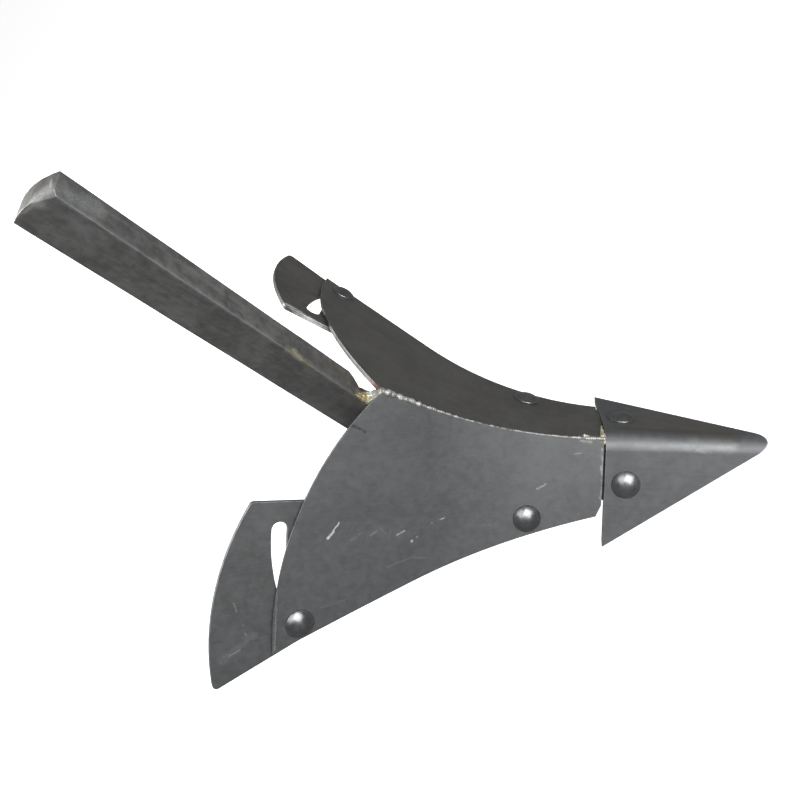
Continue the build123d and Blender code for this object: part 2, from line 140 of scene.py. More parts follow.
class NodeWriter:
    """Writes the nodes of one material."""

    def __init__(self, name: str) -> None:
        """Starts an empty material.

        Args:
            name: Name of the material.
        """
        self.material = bpy.data.materials.new(name)
        self.material.use_nodes = True
        self.tree = self.material.node_tree
        self.tree.nodes.clear()
        coordinates = self.add("ShaderNodeTexCoord")
        self.place = coordinates.outputs["Object"]

    def add(self, kind: str, inputs: dict | None = None, **settings: object) -> bpy.types.Node:
        """Adds a node.

        Args:
            kind: Node type.
            inputs: Values or sockets for its inputs, by name or number.
            **settings: Attributes of the node.

        Returns:
            The new node.
        """
        made = self.tree.nodes.new(kind)
        for name, value in settings.items():
            setattr(made, name, value)
        for key, value in (inputs or {}).items():
            if isinstance(value, bpy.types.NodeSocket):
                self.tree.links.new(value, made.inputs[key])
            else:
                made.inputs[key].default_value = value
        return made

    def math(
        self, operation: str, first: object, second: object = 0.0, clamp: bool = False
    ) -> bpy.types.NodeSocket:
        """Adds a Math node.

        Args:
            operation: Math operation.
            first: First value or socket.
            second: Second value or socket.
            clamp: Whether the result stays between 0 and 1.

        Returns:
            The result's socket.
        """
        return self.add(
            "ShaderNodeMath", {0: first, 1: second}, operation=operation, use_clamp=clamp
        ).outputs[0]

    def ramp(
        self, value: object, low: float, high: float, to_low: float = 0.0, to_high: float = 1.0
    ) -> bpy.types.NodeSocket:
        """Maps a range smoothly on to another.

        Args:
            value: Value or socket to map.
            low: Where the result is to_low.
            high: Where the result is to_high.
            to_low: Result at low.
            to_high: Result at high.

        Returns:
            The result's socket.
        """
        inputs = {0: value, 1: low, 2: high, 3: to_low, 4: to_high}
        return self.add("ShaderNodeMapRange", inputs, interpolation_type="SMOOTHSTEP").outputs[0]

    def noise(
        self,
        place: object,
        scale: float,
        seed: float,
        detail: float = 3.0,
        rough: float = 0.55,
        warp: float = 0.0,
    ) -> bpy.types.NodeSocket:
        """Adds seeded noise.

        Args:
            place: Coordinates.
            scale: Features per metre of the coordinates.
            seed: Chooses the pattern.
            detail: Octaves.
            rough: Weight of the finer octaves.
            warp: Distortion.

        Returns:
            Its value, from 0 to 1.
        """
        inputs = {
            "Vector": place,
            "W": seed,
            "Scale": scale,
            "Detail": detail,
            "Roughness": rough,
            "Distortion": warp,
        }
        return self.add("ShaderNodeTexNoise", inputs, noise_dimensions="4D").outputs["Fac"]

    def aligned(self, axis: Sequence[float], along: float, across: float) -> bpy.types.NodeSocket:
        """Coordinates turned to an axis and stretched along it.

        Args:
            axis: Direction of the grain.
            along: Features per metre along the axis.
            across: Features per metre across it.

        Returns:
            The coordinates' socket.
        """
        turn = Vector((1, 0, 0)).rotation_difference(Vector(axis).normalized()).to_euler()
        inputs = {
            "Vector": self.place, "Rotation": turn, "Scale": (1 / along, 1 / across, 1 / across)
        }
        return self.add("ShaderNodeMapping", inputs, vector_type="TEXTURE").outputs[0]

    def wobble(self, scale: float, amount: float) -> bpy.types.NodeSocket:
        """Coordinates shaken by noise, so that a straight mark is slightly ragged.

        Args:
            scale: Features per metre.
            amount: Furthest shift in metres.

        Returns:
            The coordinates' socket.
        """
        cloud = self.add(
            "ShaderNodeTexNoise", {"Vector": self.place, "Scale": scale, "Detail": 2.0}
        )
        centred = self.add(
            "ShaderNodeVectorMath",
            {0: cloud.outputs["Color"], 1: (0.5, 0.5, 0.5)},
            operation="SUBTRACT",
        )
        scaled = self.add(
            "ShaderNodeVectorMath", {0: centred.outputs[0], "Scale": 2 * amount}, operation="SCALE"
        )
        return self.add(
            "ShaderNodeVectorMath", {0: self.place, 1: scaled.outputs[0]}, operation="ADD"
        ).outputs[0]

    def blend(
        self, share: object, first: object, second: object, kind: str = "MIX"
    ) -> bpy.types.NodeSocket:
        """Mixes two colours.

        Args:
            share: Share of the second colour.
            first: First colour or socket.
            second: Second colour or socket.
            kind: Way of mixing.

        Returns:
            The mixed colour's socket.
        """
        colours = [
            c if isinstance(c, bpy.types.NodeSocket) else (*c, 1.0) for c in (first, second)
        ]
        mixer = self.add(
            "ShaderNodeMix",
            {0: share, 6: colours[0], 7: colours[1]},
            data_type="RGBA",
            blend_type=kind,
            clamp_factor=True,
        )
        return mixer.outputs[2]

    def edge(self, width: float) -> bpy.types.NodeSocket:
        """Finds outside and inside edges.

        Args:
            width: How far from an edge it reaches.

        Returns:
            1 at an edge, and 0 away from it.
        """
        rounded = self.add("ShaderNodeBevel", {"Radius": width}, samples=6)
        surface = self.add("ShaderNodeNewGeometry")
        same = self.add(
            "ShaderNodeVectorMath",
            {0: rounded.outputs[0], 1: surface.outputs["Normal"]},
            operation="DOT_PRODUCT",
        )
        rim = self.add("ShaderNodeAttribute", attribute_name="rim")
        return self.math(
            "MAXIMUM", self.ramp(same.outputs["Value"], 0.995, 0.86), rim.outputs["Fac"]
        )

    def finish(
        self, colour: object, roughness: object, metallic: float, height: object, relief: float
    ) -> bpy.types.Material:
        """Adds the bump, the shader and the output.

        Args:
            colour: Base colour.
            roughness: Roughness.
            metallic: Metallic, the same all over.
            height: Height for the bump, about 0 to 1.
            relief: Depth of the bump in metres.

        Returns:
            The finished material.
        """
        bump = self.add("ShaderNodeBump", {"Height": height, "Distance": relief, "Strength": 1.0})
        inputs = {
            "Base Color": colour,
            "Roughness": roughness,
            "Metallic": metallic,
            "Normal": bump.outputs[0],
        }
        shader = self.add("ShaderNodeBsdfPrincipled", inputs)
        self.add("ShaderNodeOutputMaterial", {"Surface": shader.outputs[0]})
        return self.material


def mark_group() -> bpy.types.NodeTree:
    """Node group that gives how strongly a line's mark covers a place.

    Returns:
        The group, made on first use.
    """
    found = bpy.data.node_groups.get("line_mark")
    if found:
        return found
    tree = bpy.data.node_groups.new("line_mark", "ShaderNodeTree")
    for name in ("Place", "Start", "Span"):
        tree.interface.new_socket(name, in_out="INPUT", socket_type="NodeSocketVector")
    tree.interface.new_socket("Width", in_out="INPUT", socket_type="NodeSocketFloat")
    tree.interface.new_socket("Cover", in_out="OUTPUT", socket_type="NodeSocketFloat")
    given = tree.nodes.new("NodeGroupInput")
    result = tree.nodes.new("NodeGroupOutput")

    def vector(operation: str, first: object, second: object, output: int) -> bpy.types.NodeSocket:
        """Adds one Vector Math node inside the group.

        Args:
            operation: Vector operation.
            first: First socket.
            second: Second socket, or a number for its scale.
            output: Number of the output.

        Returns:
            The result's socket.
        """
        made = tree.nodes.new("ShaderNodeVectorMath")
        made.operation = operation
        tree.links.new(first, made.inputs[0])
        tree.links.new(second, made.inputs["Scale" if operation == "SCALE" else 1])
        return made.outputs[output]

    offset = vector("SUBTRACT", given.outputs["Place"], given.outputs["Start"], 0)
    reach = vector("DOT_PRODUCT", offset, given.outputs["Span"], 1)
    whole = vector("DOT_PRODUCT", given.outputs["Span"], given.outputs["Span"], 1)
    share = tree.nodes.new("ShaderNodeMath")
    share.operation, share.use_clamp = "DIVIDE", True
    tree.links.new(reach, share.inputs[0])
    tree.links.new(whole, share.inputs[1])
    nearest = vector("SCALE", given.outputs["Span"], share.outputs[0], 0)
    distance = vector("DISTANCE", offset, nearest, 1)
    fade = tree.nodes.new("ShaderNodeMapRange")
    fade.interpolation_type = "SMOOTHSTEP"
    tree.links.new(distance, fade.inputs[0])
    tree.links.new(given.outputs["Width"], fade.inputs[2])
    fade.inputs[1].default_value = 0.0
    fade.inputs[3].default_value, fade.inputs[4].default_value = 1.0, 0.0
    tree.links.new(fade.outputs[0], result.inputs[0])
    return tree


@dataclass(frozen=True)
class SteelFinish:
    """Rolled steel with its scale, grain, rubbed edges, scratches and heat colours, and placed
    marks that include painted highlights and painted shade.
    """

    name: str
    light: Colour
    dark: Colour
    warm: Colour = (0.085, 0.072, 0.056)
    warm_share: float = 0.3
    rubbed: Colour = (0.36, 0.365, 0.37)
    rubbed_width: float = 0.0011
    rubbed_share: float = 0.75
    metallic: float = 0.6
    smooth: float = 0.4
    rough: float = 0.58
    grain: Point = (0.0, 0.0, 1.0)
    grain_share: float = 0.25
    speckle_share: float = 0.3
    hairlines: float = 0.4
    hairline_axes: tuple[Point, ...] = ((0.3, 0.2, 0.9), (0.7, -0.5, -0.2))
    relief: float = 0.00005
    seed: float = 0.0
    marks: tuple[Mark, ...] = ()

    def scattered_lines(self, w: NodeWriter) -> bpy.types.NodeSocket:
        """Fine scattered scratches in the finish's directions.

        Args:
            w: Writer of the material.

        Returns:
            1 on a scratch, and 0 off it.
        """
        lines = None
        for number, axis in enumerate(self.hairline_axes):
            streaks = w.noise(w.aligned(axis, 14.0, 900.0), 1.0, self.seed + 3 + number, 1.0)
            one = w.ramp(streaks, 0.73, 0.79)
            lines = one if lines is None else w.math("MAXIMUM", lines, one)
        sparse = w.ramp(w.noise(w.place, 30.0, self.seed + 6, 2.0), 0.48, 0.66)
        return w.math("MULTIPLY", lines, sparse)

    def place_marks(
        self, w: NodeWriter, colour: bpy.types.NodeSocket
    ) -> tuple[bpy.types.NodeSocket, bpy.types.NodeSocket | None]:
        """Adds the placed marks to the colour.

        Args:
            w: Writer of the material.
            colour: Colour so far.

        Returns:
            The colour with the marks, and how much of each place is cut in.
        """
        if not self.marks:
            return colour, None
        shaken = {
            MarkKind.SCRATCH: w.wobble(430.0, 0.0008), MarkKind.STAIN: w.wobble(110.0, 0.0035)
        }
        patchy = w.noise(w.place, 620.0, self.seed + 7, 3.0, 0.65)
        cut = None
        for mark in self.marks:
            span = Vector(mark.end) - Vector(mark.start)
            if span.length < 1e-4:
                span = Vector((0.0, 0.0, 1e-4))
            group = w.add("ShaderNodeGroup", node_tree=mark_group())
            w.tree.links.new(shaken[mark.kind], group.inputs["Place"])
            group.inputs["Start"].default_value = mark.start
            group.inputs["Span"].default_value = span
            group.inputs["Width"].default_value = mark.width
            torn = w.ramp(patchy, 0.36, 0.6, 1.0 - mark.breakup, 1.0)
            cover = w.math(
                "MULTIPLY", w.math("MULTIPLY", group.outputs[0], torn), mark.strength, clamp=True
            )
            colour = w.blend(cover, colour, mark.colour)
            if mark.kind is MarkKind.SCRATCH:
                cut = cover if cut is None else w.math("MAXIMUM", cut, cover)
        return colour, cut

    def make(self) -> bpy.types.Material:
        """Makes the material.

        Returns:
            The material.
        """
        w = NodeWriter(self.name)
        clouds = w.noise(w.place, 26.0, self.seed, 4.0, 0.6, 0.3)
        patches = w.noise(w.place, 150.0, self.seed + 1, 5.0, 0.62, 0.4)
        grain = w.noise(w.aligned(self.grain, 26.0, 700.0), 1.0, self.seed + 2, 4.0, 0.6)
        fine = w.noise(w.place, 1500.0, self.seed + 5, 2.0, 0.6)
        tone = w.math("ADD", w.math("MULTIPLY", clouds, 0.55), w.math("MULTIPLY", patches, 0.45))
        tone = w.math(
            "ADD",
            w.math("MULTIPLY", tone, 1 - self.grain_share),
            w.math("MULTIPLY", grain, self.grain_share),
        )
        colour = w.blend(w.ramp(tone, 0.36, 0.64), self.dark, self.light)
        oxide = w.ramp(
            w.noise(w.place, 44.0, self.seed + 4, 5.0, 0.65, 0.5), 0.5, 0.72, 0.0, self.warm_share
        )
        colour = w.blend(oxide, colour, self.warm)
        colour = w.blend(
            w.ramp(fine, 0.56, 0.74, 0.0, self.speckle_share),
            colour,
            tuple(0.45 * c for c in self.dark),
        )
        colour = w.blend(
            w.ramp(fine, 0.36, 0.22, 0.0, self.speckle_share),
            colour,
            tuple(1.5 * c for c in self.light),
        )
        lines = self.scattered_lines(w)
        colour = w.blend(w.math("MULTIPLY", lines, self.hairlines), colour, self.rubbed)
        worn = w.math(
            "MULTIPLY", w.edge(self.rubbed_width), w.ramp(patches, 0.34, 0.58, 0.25, 1.0)
        )
        colour = w.blend(w.math("MULTIPLY", worn, self.rubbed_share), colour, self.rubbed)
        colour, cut = self.place_marks(w, colour)
        gloss = w.math("ADD", w.math("MULTIPLY", patches, 0.6), w.math("MULTIPLY", fine, 0.4))
        roughness = w.ramp(gloss, 0.32, 0.68, self.smooth, self.rough)
        roughness = w.math("SUBTRACT", roughness, w.math("MULTIPLY", worn, 0.08))
        height = w.math("ADD", w.math("MULTIPLY", patches, 0.7), w.math("MULTIPLY", fine, 0.16))
        height = w.math("ADD", height, w.math("MULTIPLY", grain, 0.25))
        height = w.math("SUBTRACT", height, w.math("MULTIPLY", lines, 0.12))
        if cut is not None:
            height = w.math("SUBTRACT", height, w.math("MULTIPLY", cut, 0.5))
        return w.finish(colour, roughness, self.metallic, height, self.relief)


@dataclass(frozen=True)
class WeldFinish:
    """Weld metal: bright ripples with straw and brown heat colours."""

    name: str
    bright: Colour = (0.46, 0.45, 0.42)
    dull: Colour = (0.16, 0.155, 0.145)
    straw: Colour = (0.42, 0.33, 0.13)
    brown: Colour = (0.11, 0.07, 0.035)
    straw_share: float = 0.6
    brown_share: float = 0.5
    metallic: float = 0.55
    seed: float = 20.0

    def make(self) -> bpy.types.Material:
        """Makes the material.

        Returns:
            The material.
        """
        w = NodeWriter(self.name)
        clouds = w.noise(w.place, 170.0, self.seed, 4.0, 0.6, 0.6)
        fine = w.noise(w.place, 1300.0, self.seed + 1, 3.0, 0.6)
        tone = w.math("ADD", w.math("MULTIPLY", clouds, 0.6), w.math("MULTIPLY", fine, 0.4))
        colour = w.blend(w.ramp(tone, 0.36, 0.58), self.dull, self.bright)
        straw = w.ramp(
            w.noise(w.place, 95.0, self.seed + 2, 3.0), 0.44, 0.6, 0.0, self.straw_share
        )
        colour = w.blend(straw, colour, self.straw)
        brown = w.ramp(
            w.noise(w.place, 120.0, self.seed + 3, 4.0), 0.54, 0.66, 0.0, self.brown_share
        )
        colour = w.blend(brown, colour, self.brown)
        surface = w.add("ShaderNodeNewGeometry")
        crests = w.ramp(surface.outputs["Pointiness"], 0.5, 0.58, 0.0, 0.6)
        colour = w.blend(crests, colour, self.bright)
        roughness = w.ramp(fine, 0.3, 0.7, 0.34, 0.6)
        height = w.math("ADD", w.math("MULTIPLY", clouds, 0.5), w.math("MULTIPLY", fine, 0.5))
        return w.finish(colour, roughness, self.metallic, height, 0.00012)


@dataclass(frozen=True)
class FloorFinish:
    """Plain pale studio floor."""

    name: str = "pale_floor"
    colour: Colour = (0.9, 0.9, 0.9)
    glow: float = 0.75
    roughness: float = 0.9

    def make(self) -> bpy.types.Material:
        """Makes the material.

        Returns:
            The material.
        """
        w = NodeWriter(self.name)
        inputs = {
            "Base Color": (*self.colour, 1.0),
            "Roughness": self.roughness,
            "Emission Color": (1.0, 1.0, 1.0, 1.0),
            "Emission Strength": self.glow,
        }
        shader = w.add("ShaderNodeBsdfPrincipled", inputs)
        w.add("ShaderNodeOutputMaterial", {"Surface": shader.outputs[0]})
        return w.material


# ---------------------------------------------------------------------------
# Mesh tools
# ---------------------------------------------------------------------------


def body_of(node: str) -> str:
    """Name of the body that a CAD node belongs to.

    Args:
        node: Name of the CAD node.

    Returns:
        The body's name.
    """
    bodies = frame["record"]["behaviour"]["bodies"]
    return next(body for body, members in bodies.items() if node in members)


def merged_copy(node: str, flatten: float = 0.25) -> bmesh.types.BMesh:
    """A closed copy of a CAD node's mesh, with its flat faces joined up.

    Args:
        node: Name of the CAD node.
        flatten: Degrees up to which neighbouring faces are joined.

    Returns:
        The copy.
    """
    work = bmesh.new()
    work.from_mesh(frame["nodes"][node].data)
    bmesh.ops.remove_doubles(work, verts=work.verts, dist=MERGE_DISTANCE)
    bmesh.ops.dissolve_limit(
        work, angle_limit=math.radians(flatten), verts=work.verts, edges=work.edges
    )
    return work


def soften_edges(
    work: bmesh.types.BMesh, width: float, segments: int = 3, angle: float = 28.0
) -> None:
    """Rounds the sharp edges and marks the rounded faces as rim.

    Args:
        work: Mesh to change.
        width: Width of the rounding.
        segments: Steps across it.
        angle: Degrees past which an edge counts as sharp.
    """
    rim = work.faces.layers.float.get("rim") or work.faces.layers.float.new("rim")
    sharp = [
        e for e in work.edges if len(e.link_faces) == 2 and e.calc_face_angle(0.0) > math.radians(
            angle
        )
    ]
    made = bmesh.ops.bevel(
        work,
        geom=sharp,
        offset=width,
        offset_type="OFFSET",
        segments=segments,
        profile=0.5,
        affect="EDGES",
        clamp_overlap=True,
        material=-1,
    )
    for face in made["faces"]:
        face[rim] = 1.0


def as_piece(
    work: bmesh.types.BMesh, name: str, sharp: float = 50.0, weighted: bool = True
) -> bpy.types.Object:
    """Turns a mesh into a shaded object at the origin.

    Args:
        work: Mesh, which is freed.
        name: Name of the piece.
        sharp: Degrees past which an edge is shaded sharp.
        weighted: Whether large faces keep flat shading.

    Returns:
        The object.
    """
    mesh = bpy.data.meshes.new(name)
    for face in work.faces:
        face.smooth = True
    work.to_mesh(mesh)
    work.free()
    mesh.set_sharp_from_angle(angle=math.radians(sharp))
    piece = bpy.data.objects.new(name, mesh)
    bpy.context.scene.collection.objects.link(piece)
    if weighted:
        shading = piece.modifiers.new("even_shading", "WEIGHTED_NORMAL")
        shading.keep_sharp = True
    return piece


def dress(
    piece: bpy.types.Object, material: bpy.types.Material, slot: Slot, body: str, *nodes: str
) -> bpy.types.Object:
    """Gives a piece its material, its body and the CAD nodes that it stands for.

    Args:
        piece: The piece.
        material: Its finish.
        slot: Its material slot; not used.
        body: Name of the body it rides on.
        *nodes: CAD nodes it replaces.

    Returns:
        The piece.
    """
    piece.data.materials.clear()
    piece.data.materials.append(material)
    if nodes:
        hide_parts(*nodes)
    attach(piece, body)
    triangles = sum(len(p.vertices) - 2 for p in piece.data.polygons)
    LOG.info("%s on %s: %d triangles", piece.name, body, triangles)
    return piece


@dataclass(frozen=True)
class Axle:
    """Centre and direction of a round part."""

    centre: Vector
    direction: Vector

    @classmethod
    def of_washer(cls, node: str, towards: Vector) -> "Axle":
        """Finds a washer's axis from its faces.

        Args:
            node: CAD node of the washer.
            towards: A point on the side that the axis points to.

        Returns:
            The axis.
        """
        mesh = frame["nodes"][node].data
        areas = np.array([p.area for p in mesh.polygons])
        centres = np.array([p.center for p in mesh.polygons])
        middle = (centres * areas[:, None]).sum(0) / areas.sum()
        offsets = (centres - middle) * np.sqrt(areas)[:, None]
        _, _, axes = np.linalg.svd(offsets, full_matrices=False)
        normals = np.array([p.normal for p in mesh.polygons])
        flat = [abs((normals @ axis) ** 2 @ areas) for axis in axes]
        direction = Vector(axes[int(np.argmax(flat))])
        centre = Vector(middle)
        if direction.dot(towards - centre) < 0:
            direction.negate()
        return cls(centre, direction)

    def reach(self, node: str) -> tuple[float, float]:
        """How far a CAD node reaches along the axis.

        Args:
            node: Name of the CAD node.

        Returns:
            Lowest and highest distance from the centre.
        """
        along = [
            self.direction.dot(v.co - self.centre) for v in frame["nodes"][node].data.vertices
        ]
        return min(along), max(along)

    def placing(self, distance: float) -> Matrix:
        """Matrix that puts local Z on the axis, with its origin that far along.

        Args:
            distance: Distance from the centre.

        Returns:
            The matrix.
        """
        turn = Vector((0, 0, 1)).rotation_difference(self.direction).to_matrix().to_4x4()
        return Matrix.Translation(self.centre + self.direction * distance) @ turn


def join_meshes(work: bmesh.types.BMesh, part: bmesh.types.BMesh) -> None:
    """Adds one mesh to another and frees it.

    Args:
        work: Mesh that grows.
        part: Mesh that is added.
    """
    carrier = bpy.data.meshes.new("carrier")
    part.to_mesh(carrier)
    part.free()
    work.from_mesh(carrier)
    bpy.data.meshes.remove(carrier)


def middle_of(node: str) -> Vector:
    """Middle of a CAD node's box.

    Args:
        node: Name of the CAD node.

    Returns:
        The middle.
    """
    low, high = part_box(node)
    return (low + high) / 2


@dataclass
class WeldRun:
    """A weld laid as a row of overlapping drops, fused into one rippled skin.

    Attributes:
        name: Name of the piece.
        pitch: Distance between ripples.
        radius: Radius of a drop.
        unevenness: Share by which drops differ.
        voxel: Size of the fused skin's cells.
        passes: How many times the skin is smoothed.
    """

    name: str
    pitch: float = 0.0019
    radius: float = 0.0024
    unevenness: float = 0.18
    voxel: float = 0.00045
    passes: int = 1

    def drops(
        self, path: Sequence[Vector], offset: float = 0.0, sizes: Sequence[float] = (1.0, 1.0)
    ) -> bmesh.types.BMesh:
        """Lays drops along a path.

        Args:
            path: Points of the path.
            offset: Chooses the unevenness.
            sizes: Share of the radius at even steps along the path.

        Returns:
            The drops, not yet fused.
        """
        work = bmesh.new()
        points = resampled(path, self.pitch)
        for number, point in enumerate(points):
            before, after = points[max(number - 1, 0)], points[min(number + 1, len(points) - 1)]
            turn = Vector((1, 0, 0)).rotation_difference(
                (after - before).normalized()
            ).to_matrix().to_4x4()
            wave = noise.noise(Vector((number * 0.43 + offset, 3.1, offset)))
            step = number / max(len(points) - 1, 1)
            share = float(np.interp(step, np.linspace(0.0, 1.0, len(sizes)), sizes))
            size = self.radius * share * (1.0 + self.unevenness * wave * 1.6)
            sway = Vector(
                (
                    noise.noise(Vector((number * 0.31, offset, 0.0))),
                    noise.noise(Vector((number * 0.31, offset, 7.0))),
                    0.0,
                )
            )
            middle = Matrix.Translation(point + sway * size * 0.25)
            bmesh.ops.create_icosphere(
                work,
                subdivisions=3,
                radius=size,
                matrix=middle @ turn @ Matrix.Diagonal((0.62, 1.0, 1.0, 1.0)),
            )
        return work

    def fused(self, work: bmesh.types.BMesh, roughen: float = 0.00012) -> bpy.types.Object:
        """Fuses drops and lumps into one closed skin.

        Args:
            work: The lumps, freed.
            roughen: Height of the fine unevenness.

        Returns:
            The object.
        """
        lumps = bpy.data.meshes.new(self.name + "_lumps")
        work.to_mesh(lumps)
        work.free()
        holder = bpy.data.objects.new(self.name + "_lumps", lumps)
        bpy.context.scene.collection.objects.link(holder)
        fuse = holder.modifiers.new("fuse", "REMESH")
        fuse.mode, fuse.voxel_size = "VOXEL", self.voxel
        ready = holder.evaluated_get(bpy.context.evaluated_depsgraph_get())
        skin = bmesh.new()
        skin.from_mesh(ready.to_mesh())
        ready.to_mesh_clear()
        bpy.data.objects.remove(holder)
        bpy.data.meshes.remove(lumps)
        for _ in range(self.passes):
            bmesh.ops.smooth_vert(
                skin,
                verts=skin.verts,
                factor=0.35,
                use_axis_x=True,
                use_axis_y=True,
                use_axis_z=True,
            )
        skin.normal_update()
        for vertex in skin.verts:
            vertex.co += vertex.normal * roughen * noise.noise(vertex.co * 900.0)
        return as_piece(skin, self.name, sharp=80.0, weighted=False)


def resampled(path: Sequence[Vector], pitch: float) -> list[Vector]:
    """Points at an even distance along a path of straight runs.

    Args:
        path: Points of the path.
        pitch: Distance between the new points.

    Returns:
        The new points, the first and last of the path among them.
    """
    lengths = [0.0]
    for first, second in zip(path, path[1:]):
        lengths.append(lengths[-1] + (second - first).length)
    count = max(2, round(lengths[-1] / pitch) + 1)
    result = []
    for number in range(count):
        at = lengths[-1] * number / (count - 1)
        run = max(i for i in range(len(path) - 1) if lengths[i] <= at + 1e-9)
        share = (at - lengths[run]) / max(lengths[run + 1] - lengths[run], 1e-9)
        result.append(path[run].lerp(path[run + 1], min(share, 1.0)))
    return result


def ridge_line() -> list[Vector]:
    """The line where the two wings meet, from its top to its foot.

    Returns:
        Points on the working faces' meeting edge.
    """
    work = merged_copy("wing_right")
    root = sorted((v.co.copy() for v in work.verts if v.co.y > -0.0006), key=lambda p: -p.z)
    work.free()
    outer = [p for p in root if not any(q.x > p.x + 1e-5 and q.z > p.z + 1e-5 for q in root)]
    return [Vector((p.x, 0.0, p.z)) for p in outer]


# ---------------------------------------------------------------------------
# Sub-assemblies
# ---------------------------------------------------------------------------

RUBBED = (0.40, 0.40, 0.40)
PALE = (0.34, 0.345, 0.35)
DUSTY = (0.25, 0.252, 0.255)
# Near-black, used for soot and for painted shade.
SOOT_AND_SHADE = (0.03, 0.03, 0.03)
STRAW = (0.36, 0.27, 0.09)
BROWN = (0.13, 0.085, 0.04)
RUST = (0.20, 0.09, 0.05)
ASH = (0.42, 0.41, 0.38)
BARE = (0.85, 0.85, 0.84)

SCRATCH = MarkKind.SCRATCH
STAIN = MarkKind.STAIN
FRONT = 0.0225  # X of the shank's front face
FLANK = -0.009  # Y of its right face

# Heat colours near the weld, rubbed lines down the front and pale smears at the top.
SHANK_MARKS = (
    Mark((FRONT, -0.003, -0.196), (FRONT, -0.008, -0.212), 0.012, STRAW, 0.9, STAIN, 0.6),
    Mark((FRONT, -0.004, -0.190), (FRONT, -0.0088, -0.203), 0.005, ASH, 0.8, STAIN, 0.5),
    Mark((FRONT, -0.0085, -0.180), (FRONT, -0.0085, -0.204), 0.0055, BROWN, 0.8, STAIN, 0.6),
    Mark((FRONT, 0.002, -0.15), (FRONT, 0.0, -0.195), 0.007, BROWN, 0.45, STAIN, 0.7),
    Mark((FRONT, -0.0085, -0.112), (FRONT, -0.0085, -0.135), 0.0055, STRAW, 0.75, STAIN, 0.9),
    Mark(
        (FRONT, -0.006, -0.117),
        (FRONT, -0.0085, -0.125),
        0.0034,
        (0.55, 0.52, 0.38),
        0.95,
        STAIN,
        0.4,
    ),
    Mark((FRONT, -0.003, -0.05), (FRONT, -0.0075, -0.18), 0.0018, DUSTY, 0.65, STAIN, 0.7),
    Mark((FRONT, 0.004, 0.07), (FRONT, 0.0015, -0.07), 0.0024, DUSTY, 0.5, STAIN, 0.8),
    Mark(
        (FRONT, -0.003, 0.080),
        (FRONT, 0.0005, 0.056),
        0.0075,
        (0.33, 0.345, 0.34),
        0.75,
        STAIN,
        0.6,
    ),
    Mark((FRONT, -0.009, 0.08), (FRONT, -0.009, -0.2), 0.0034, PALE, 0.6, STAIN, 0.5),
    Mark((0.012, FLANK, 0.068), (0.009, FLANK, 0.052), 0.0045, DUSTY, 0.6, STAIN, 0.7),
    Mark((-0.012, FLANK, 0.075), (-0.002, FLANK, 0.068), 0.005, DUSTY, 0.4, STAIN, 0.8),
    # Darker towards the foot of the right face.
    Mark((0.005, FLANK, -0.165), (0.005, FLANK, -0.215), 0.032, SOOT_AND_SHADE, 0.4, STAIN, 0.3),
    Mark(
        (0.0180, -0.0045, 0.0855),
        (0.0060, -0.0075, 0.0858),
        0.0075,
        (0.5, 0.51, 0.5),
        0.9,
        STAIN,
        0.35,
    ),
    Mark(
        (0.0188, -0.0035, 0.0858),
        (0.0165, 0.001, 0.0862),
        0.0024,
        (0.6, 0.6, 0.58),
        0.95,
        STAIN,
        0.25,
    ),
    Mark(
        (-0.02, -0.0075, 0.0845),
        (0.004, -0.0085, 0.086),
        0.0030,
        (0.46, 0.43, 0.38),
        0.9,
        STAIN,
        0.4,
    ),
    Mark((-0.02, 0.004, 0.085), (0.010, 0.005, 0.087), 0.006, BROWN, 0.55, STAIN, 0.6),
)

# Painted highlight along the crest, warm flange and a few knocks near the point.
SHARE_MARKS = (
    Mark((0.2184, -0.0077, -0.4117), (0.229, -0.0095, -0.42), 0.0026, PALE, 0.6, STAIN, 0.7),
    Mark((0.2116, -0.0198, -0.4202), (0.2183, -0.019, -0.4234), 0.0012, PALE, 0.6),
    Mark((0.178, -0.0126, -0.3921), (0.1827, -0.0152, -0.3977), 0.0015, DUSTY, 0.5),
    Mark((0.2143, 0.0127, -0.4144), (0.220, 0.0125, -0.4175), 0.0011, RUST, 0.8, STAIN, 0.3),
    Mark((0.147, 0.021, -0.383), (0.1475, 0.006, -0.372), 0.0045, STRAW, 0.6, STAIN, 0.5),
    # Painted highlight: a grey line along the crest towards the point.
    Mark((0.236, 0.0, -0.42), (0.26, 0.0, -0.436), 0.004, DUSTY, 0.35, STAIN, 0.7),
    # Painted highlight: a pale band along the crest, where the bend catches the light.
    Mark(
        (0.156, 0.0, -0.3710),
        (0.245, -0.0045, -0.4245),
        0.0090,
        (0.34, 0.35, 0.355),
        0.5,
        STAIN,
        0.25,
    ),
    Mark(
        (0.165, 0.030, -0.402),
        (0.232, 0.014, -0.428),
        0.026,
        (0.150, 0.136, 0.112),
        0.75,
        STAIN,
        0.4,
    ),
    Mark(
        (0.165, 0.0140, -0.3850),
        (0.248, 0.0045, -0.4290),
        0.0080,
        (0.125, 0.117, 0.10),
        0.85,
        STAIN,
        0.3,
    ),
    Mark((0.165, 0.035, -0.405), (0.225, 0.012, -0.42), 0.004, DUSTY, 0.3, STAIN, 0.9),
)

# Heat at the nose, and painted shade darkening the rear edge face.
LEFT_WING_MARKS = (
    Mark(
        (0.0325, 0.003, -0.2050),
        (0.0205, 0.017, -0.2037),
        0.0034,
        (0.34, 0.22, 0.19),
        0.9,
        STAIN,
        0.3,
    ),
    # Painted shade: near-black lines darken the rear edge face.
    Mark((-0.0182, 0.0640, -0.1985), (0.0010, 0.0385, -0.1990), 0.0048, SOOT_AND_SHADE, 0.85, STAIN, 0.2),
    Mark((0.0010, 0.0385, -0.1990), (0.0180, 0.0170, -0.2020), 0.0048, SOOT_AND_SHADE, 0.85, STAIN, 0.2),
    Mark((-0.03, 0.085, -0.20), (-0.018, 0.07, -0.199), 0.002, DUSTY, 0.6, STAIN, 0.6),
    Mark((-0.02, 0.10, -0.235), (-0.035, 0.12, -0.25), 0.0012, PALE, 0.5),
)
